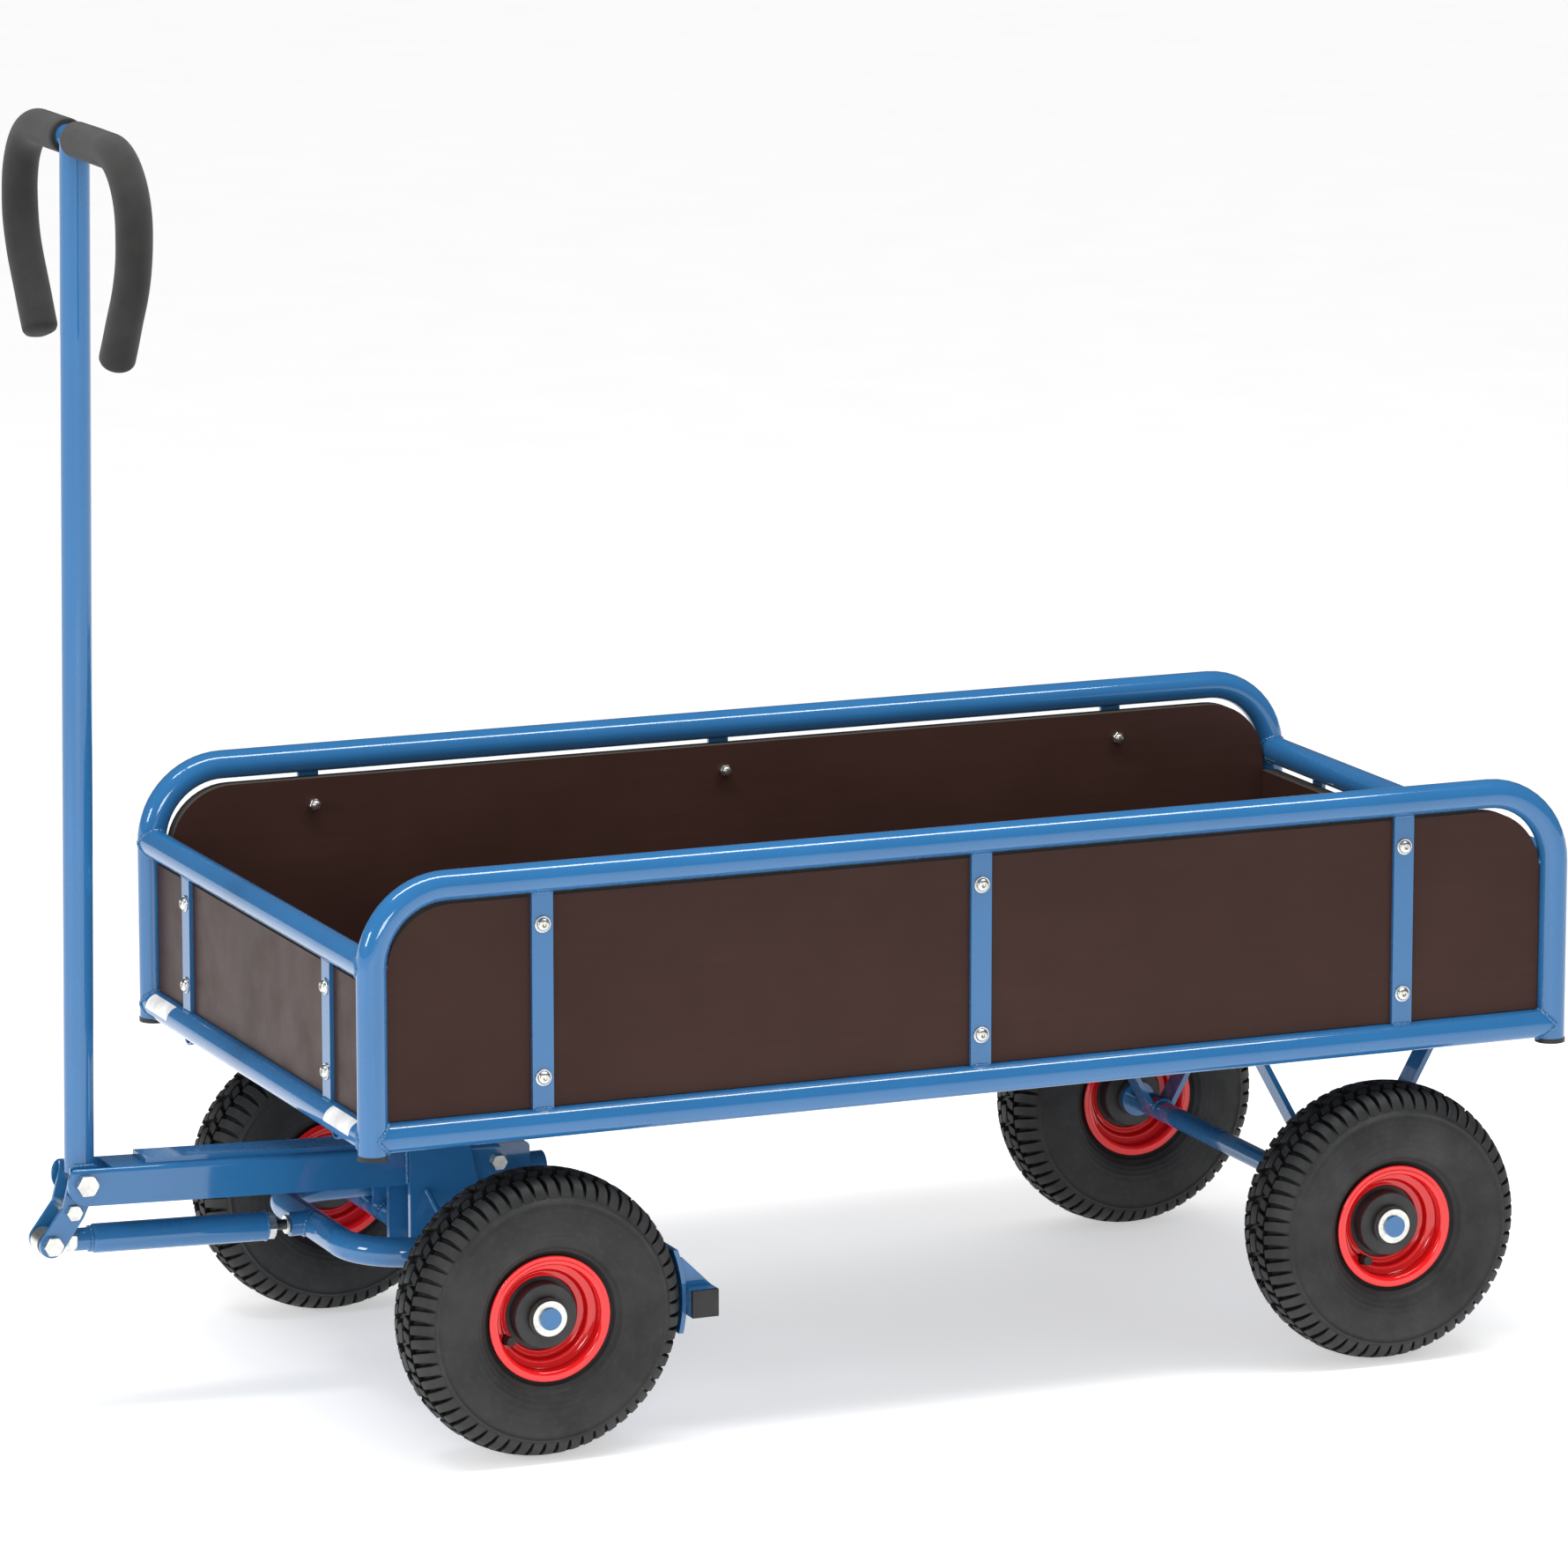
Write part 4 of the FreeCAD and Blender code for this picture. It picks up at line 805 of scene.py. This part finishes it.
def underframe_welds():
    """Beads at the rear struts' feet and heads, and where the bearers meet the end rails."""
    shape = Shape()
    for side in (1, -1):
        for edge in (-13.0, 13.0):
            foot = (REAR_AXLE_X, side * BEARER_Y + edge, WHEEL_Z)
            shape.join(bead(ring(foot, (0, 1, 0), 11.0, -75, 75), 1.8, False, edge))
        for end in (1, -1):
            head_x, head_y, head_z = REAR_AXLE_X + end * 98.0, side * BEARER_Y, 285.4
            shape.join(seam((head_x, head_y - 12, head_z), (head_x, head_y + 12, head_z), 1.9, end + side))
            joint = Vector((end * (POST_X - 12.6), side * BEARER_Y, BEARER_Z))
            shape.join(bead(ring(joint, (1, 0, 0), TUBE_R + 0.3), 1.7, True, end * side))
    return shape


def truck_welds():
    """Beads on the fork cheeks, the drawbar, the bow's straps and the stays' feet on the axle."""
    shape = Shape()
    for side in (1, -1):
        face = side * 31.6
        shape.join(seam((400, face, 266.6), (446, face, 266.6), 2.0, side))
        shape.join(bead(ring((FRONT_AXLE_X, face, WHEEL_Z), (0, 1, 0), 11.0), 2.0, True, side))
        for x, top, bottom in ((448.9, 222, 191), (382.5, 196, 190)):
            shape.join(seam((x, side * 25.8, bottom), (x, side * 25.8, top), 2.0, x))
        for y in (side * 149.0, side * 103.5):
            shape.join(bead(ring((FRONT_AXLE_X, y, WHEEL_Z), (0, 1, 0), 10.8, -65, 65), 1.7, False, y))
        stay_foot = (FRONT_AXLE_X, side * 94.0, WHEEL_Z + 8.5)
        shape.join(bead(ring(stay_foot, (0, 0, 1), 4.0), 1.4, True, side * 103.5))
    return shape


def handle_welds():
    """Beads round the stem's foot on the lever plates and under the grip bar."""
    shape = Shape()
    for side in (1, -1):
        shape.join(seam((743.5, side * 15.0, 235.0), (763.5, side * 15.0, 235.0), 1.7, side))
    head = grip_points(1, 0.0)[0]
    saddle = []
    for k in range(60):
        turn = 2 * math.pi * k / 60
        dx, dy = TUBE_R * math.cos(turn), TUBE_R * math.sin(turn)
        drop = math.sqrt(max(0.0, GRIP_BAR_R ** 2 - dx * dx))
        saddle.append(Vector((head.x + dx, dy, head.z - drop)))
    shape.join(bead(saddle, 1.5, True, 2.0))
    return shape


def brake_welds():
    """Beads round the bow's lug, under its legs on the bar, and round the shoes' pads."""
    shape = Shape()
    lug_foot = []
    reach = 11.2
    offset = LUG_Z - BOW_Z
    for k in range(60):
        turn = 2 * math.pi * k / 60
        rise = reach * math.sin(turn)
        x = BOW_FRONT_X + math.sqrt(TUBE_R ** 2 - (rise + offset) ** 2 * 0.96)
        lug_foot.append(Vector((x, reach * math.cos(turn), LUG_Z + rise)))
    shape.join(bead(lug_foot, 1.7, True, 1.0))
    for side in (1, -1):
        leg = side * BOW_LEG_Y
        for x in (260.8, 283.9):
            shape.join(seam((x, leg - 7, 142.4), (x, leg + 7, 142.4), 2.0, x))
        for x in (319.6, 346.4):
            shape.join(seam((x, leg - 7, 168.9), (x, leg + 7, 168.9), 1.8, x))
        for edge in (-18.2, 18.2):
            y = side * WHEEL_Y + edge
            shape.join(seam((284.6, y, 120), (284.6, y, 139), 1.3, y))
    return shape


STRUT_PIN = Vector((785.0, 0, 164.8))
STRUT_END = Vector((555.65, 0, 157.9))


def on_strut(distance):
    return STRUT_PIN + (STRUT_END - STRUT_PIN).normalized() * distance


def strut_welds():
    """Rings where the strut's tube meets its end pieces."""
    shape = Shape()
    axis = STRUT_END - STRUT_PIN
    shape.join(bead(ring(on_strut(40.0), axis, 10.9), 1.5, True, 4.0))
    shape.join(bead(ring(on_strut(207.4), axis, 12.9), 1.2, True, 6.0))
    return shape


chassis_welds = tray_welds()
chassis_welds.join(underframe_welds())
welds = {"chassis": chassis_welds, "truck": truck_welds(), "handle": handle_welds(),
         "brake_frame": brake_welds(), "strut": strut_welds()}
for body, shape in welds.items():
    made = shape.object("weld_beads_" + body, paint, 60.0)
    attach(made, body)


# ---- strut adjuster -------------------------------------------------------------------------
def along_strut(shape):
    """Turns a shape drawn along +Y from the strut pin to lie on the strut."""
    turn = Vector((0, 1, 0)).rotation_difference(STRUT_END - STRUT_PIN).to_matrix().to_4x4()
    placed = Shape()
    placed.join(shape, Matrix.Translation(STRUT_PIN) @ turn)
    return placed


def hex_nut(start, end, flats, hole):
    """Chamfered hexagon nut along Y with a countersunk hole."""
    shape = Shape()
    corner = flats / math.sqrt(3)
    rows = []
    for share, y in ((None, start + 0.8), (0.93, start), (1.0, start + 0.7), (1.0, end - 0.7), (0.93, end),
                     (None, end - 0.8)):
        rows.append([Vector((hexagon_radius(k, corner, share, hole) * math.cos(math.radians(15 * k)), y,
                             hexagon_radius(k, corner, share, hole) * math.sin(math.radians(15 * k))))
                     for k in range(24)])
    shape.grid(rows, close_rows=True, close_columns=True)
    return shape


def hexagon_radius(k, corner, share, hole):
    """Radius of a hexagon's outline every 15 degrees, cut back to a circle by the chamfer."""
    if share is None:
        return hole
    within = math.radians(15 * (k % 4) - 30)
    outline = corner * math.cos(math.radians(30)) / math.cos(within)
    return min(outline, corner * share) if share < 1 else outline


def screw_thread(start, end, radius, pitch=1.5):
    """Threaded bar along Y: a helical ridge cut in its skin."""
    shape = Shape()
    sides = 24
    count = round((end - start) / pitch * 8)
    rows = []
    for i in range(count + 1):
        y = start + (end - start) * i / count
        row = []
        for k in range(sides):
            r = radius - 0.75 * abs(2 * ((y / pitch - k / sides) % 1.0) - 1)
            turn = 2 * math.pi * k / sides
            row.append(Vector((r * math.cos(turn), y, r * math.sin(turn))))
        rows.append(row)
    shape.grid(rows, close_columns=True, cap_start=True, cap_end=True)
    return shape


dark_steel = zinc_plate("dark threaded steel", (0.10, 0.10, 0.105))
stud = along_strut(screw_thread(207.0, 228.0, 5.0)).object("adjuster_stud", dark_steel, 50.0)
collars = hex_nut(208.1, 215.6, 22.0, 5.0)
washer_outline = [(4.2, 226.6), (8.2, 226.6), (8.8, 227.1), (8.8, 228.9), (8.2, 229.4), (4.2, 229.4)]
collars.join(lathe(washer_outline, (0, 0, 0), 40))
nuts = along_strut(collars).object("adjuster_nuts", zinc, 30.0)
for piece in (stud, nuts):
    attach(piece, "strut")
    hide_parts("strut_adjuster")


# ---- blank labels on the front lower rail ---------------------------------------------------
def label_shape(y_low, y_high):
    """Thin blank sticker wrapped on the upper front of the rail, with slanted ends."""
    shape = Shape()
    columns = 12
    rows = []
    for k in range(15):
        turn = math.radians(-6 + 72 * k / 14)
        slant = 6.0 * k / 14
        row = []
        for j in range(columns + 1):
            y = y_low + slant + (y_high - y_low) * j / columns
            row.append(Vector((POST_X + (TUBE_R + 0.16) * math.cos(turn), y,
                               LOWER_RAIL_Z + (TUBE_R + 0.16) * math.sin(turn))))
        rows.append(row)
    backs = [[Vector((POST_X + (p.x - POST_X) * 0.99, p.y, LOWER_RAIL_Z + (p.z - LOWER_RAIL_Z) * 0.99))
              for p in row] for row in rows]
    shape.grid(rows)
    shape.grid(backs)
    border = ([row[0] for row in rows] + rows[-1][1:] + [row[-1] for row in reversed(rows[:-1])]
              + list(reversed(rows[0][1:-1])))
    under = ([row[0] for row in backs] + backs[-1][1:] + [row[-1] for row in reversed(backs[:-1])]
             + list(reversed(backs[0][1:-1])))
    shape.grid([border, under], close_columns=True)
    return shape


labels = label_shape(204.0, 268.0)
labels.join(label_shape(-279.0, -219.0))
label_set = labels.object("blank_labels", label_vinyl, 40.0)
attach(label_set, "chassis")


# ---- floor, light and camera ----------------------------------------------------------------
def stage_floor():
    look = Finish("floor", specular=0.2)
    look.colour(look.ramp(look.noise(0.4, 2.0), [(0.3, (0.90, 0.90, 0.90)), (0.7, (0.91, 0.91, 0.91))]))
    look.shader.inputs["Emission Color"].default_value = (1, 1, 1, 1)
    look.shader.inputs["Emission Strength"].default_value = 0.46
    look.roughness(look.remap(look.noise(6.0, 2.0), 0.6, 0.7))
    size = 30.0
    mesh = bpy.data.meshes.new("floor")
    corners = [(-size, -size, 0), (size, -size, 0), (size, size, 0), (-size, size, 0)]
    mesh.from_pydata(corners, [], [(0, 1, 2, 3)])
    mesh.materials.append(look.material)
    floor = bpy.data.objects.new("floor", mesh)
    bpy.context.scene.collection.objects.link(floor)


def area_light(name, place, target, size, energy, colour=(1, 1, 1)):
    data = bpy.data.lights.new(name, "AREA")
    data.shape = "RECTANGLE"
    data.size, data.size_y = size
    data.energy = energy
    data.color = colour
    lamp = bpy.data.objects.new(name, data)
    lamp.location = place
    lamp.rotation_euler = (Vector(target) - Vector(place)).to_track_quat("-Z", "Y").to_euler()
    bpy.context.scene.collection.objects.link(lamp)


def studio():
    world = bpy.data.worlds.new("studio")
    world.use_nodes = True
    tree = world.node_tree
    background = tree.nodes["Background"]
    background.inputs["Color"].default_value = (1.0, 1.0, 1.0, 1)
    rays = tree.nodes.new("ShaderNodeLightPath")
    for_camera = tree.nodes.new("ShaderNodeMapRange")
    for_camera.inputs["To Min"].default_value = 0.60
    for_camera.inputs["To Max"].default_value = 1.0
    tree.links.new(rays.outputs["Is Camera Ray"], for_camera.inputs["Value"])
    for_gloss = tree.nodes.new("ShaderNodeMapRange")
    for_gloss.inputs["To Max"].default_value = 0.10
    tree.links.new(rays.outputs["Is Glossy Ray"], for_gloss.inputs["Value"])
    tree.links.new(for_camera.outputs["Result"], for_gloss.inputs["To Min"])
    tree.links.new(for_gloss.outputs["Result"], background.inputs["Strength"])
    bpy.context.scene.world = world
    area_light("overhead", (0.1, 0.5, 2.6), (0, 0, 0.3), (3.4, 0.36), 56)
    area_light("key", (1.6, 4.2, 1.3), (0.1, 0, 0.35), (1.2, 0.9), 34)
    area_light("front", (4.2, 0.6, 1.6), (0.3, 0, 0.3), (0.9, 0.9), 32)
    bpy.context.scene.view_settings.view_transform = "Standard"


def camera():
    yaw, pitch = math.radians(23.144), math.radians(11.351)
    back = Vector((math.sin(yaw) * math.cos(pitch), math.cos(yaw) * math.cos(pitch), math.sin(pitch)))
    data = bpy.data.cameras.new("camera")
    data.sensor_width = 36.0
    data.lens = 190.4
    data.clip_end = 200.0
    cam = bpy.data.objects.new("camera", data)
    cam.location = at(65.142, 0, 526.942) + back * 7.64997
    cam.rotation_mode = "QUATERNION"
    cam.rotation_quaternion = (-back).to_track_quat("-Z", "Y")
    bpy.context.scene.collection.objects.link(cam)
    bpy.context.scene.camera = cam


stage_floor()
studio()
camera()
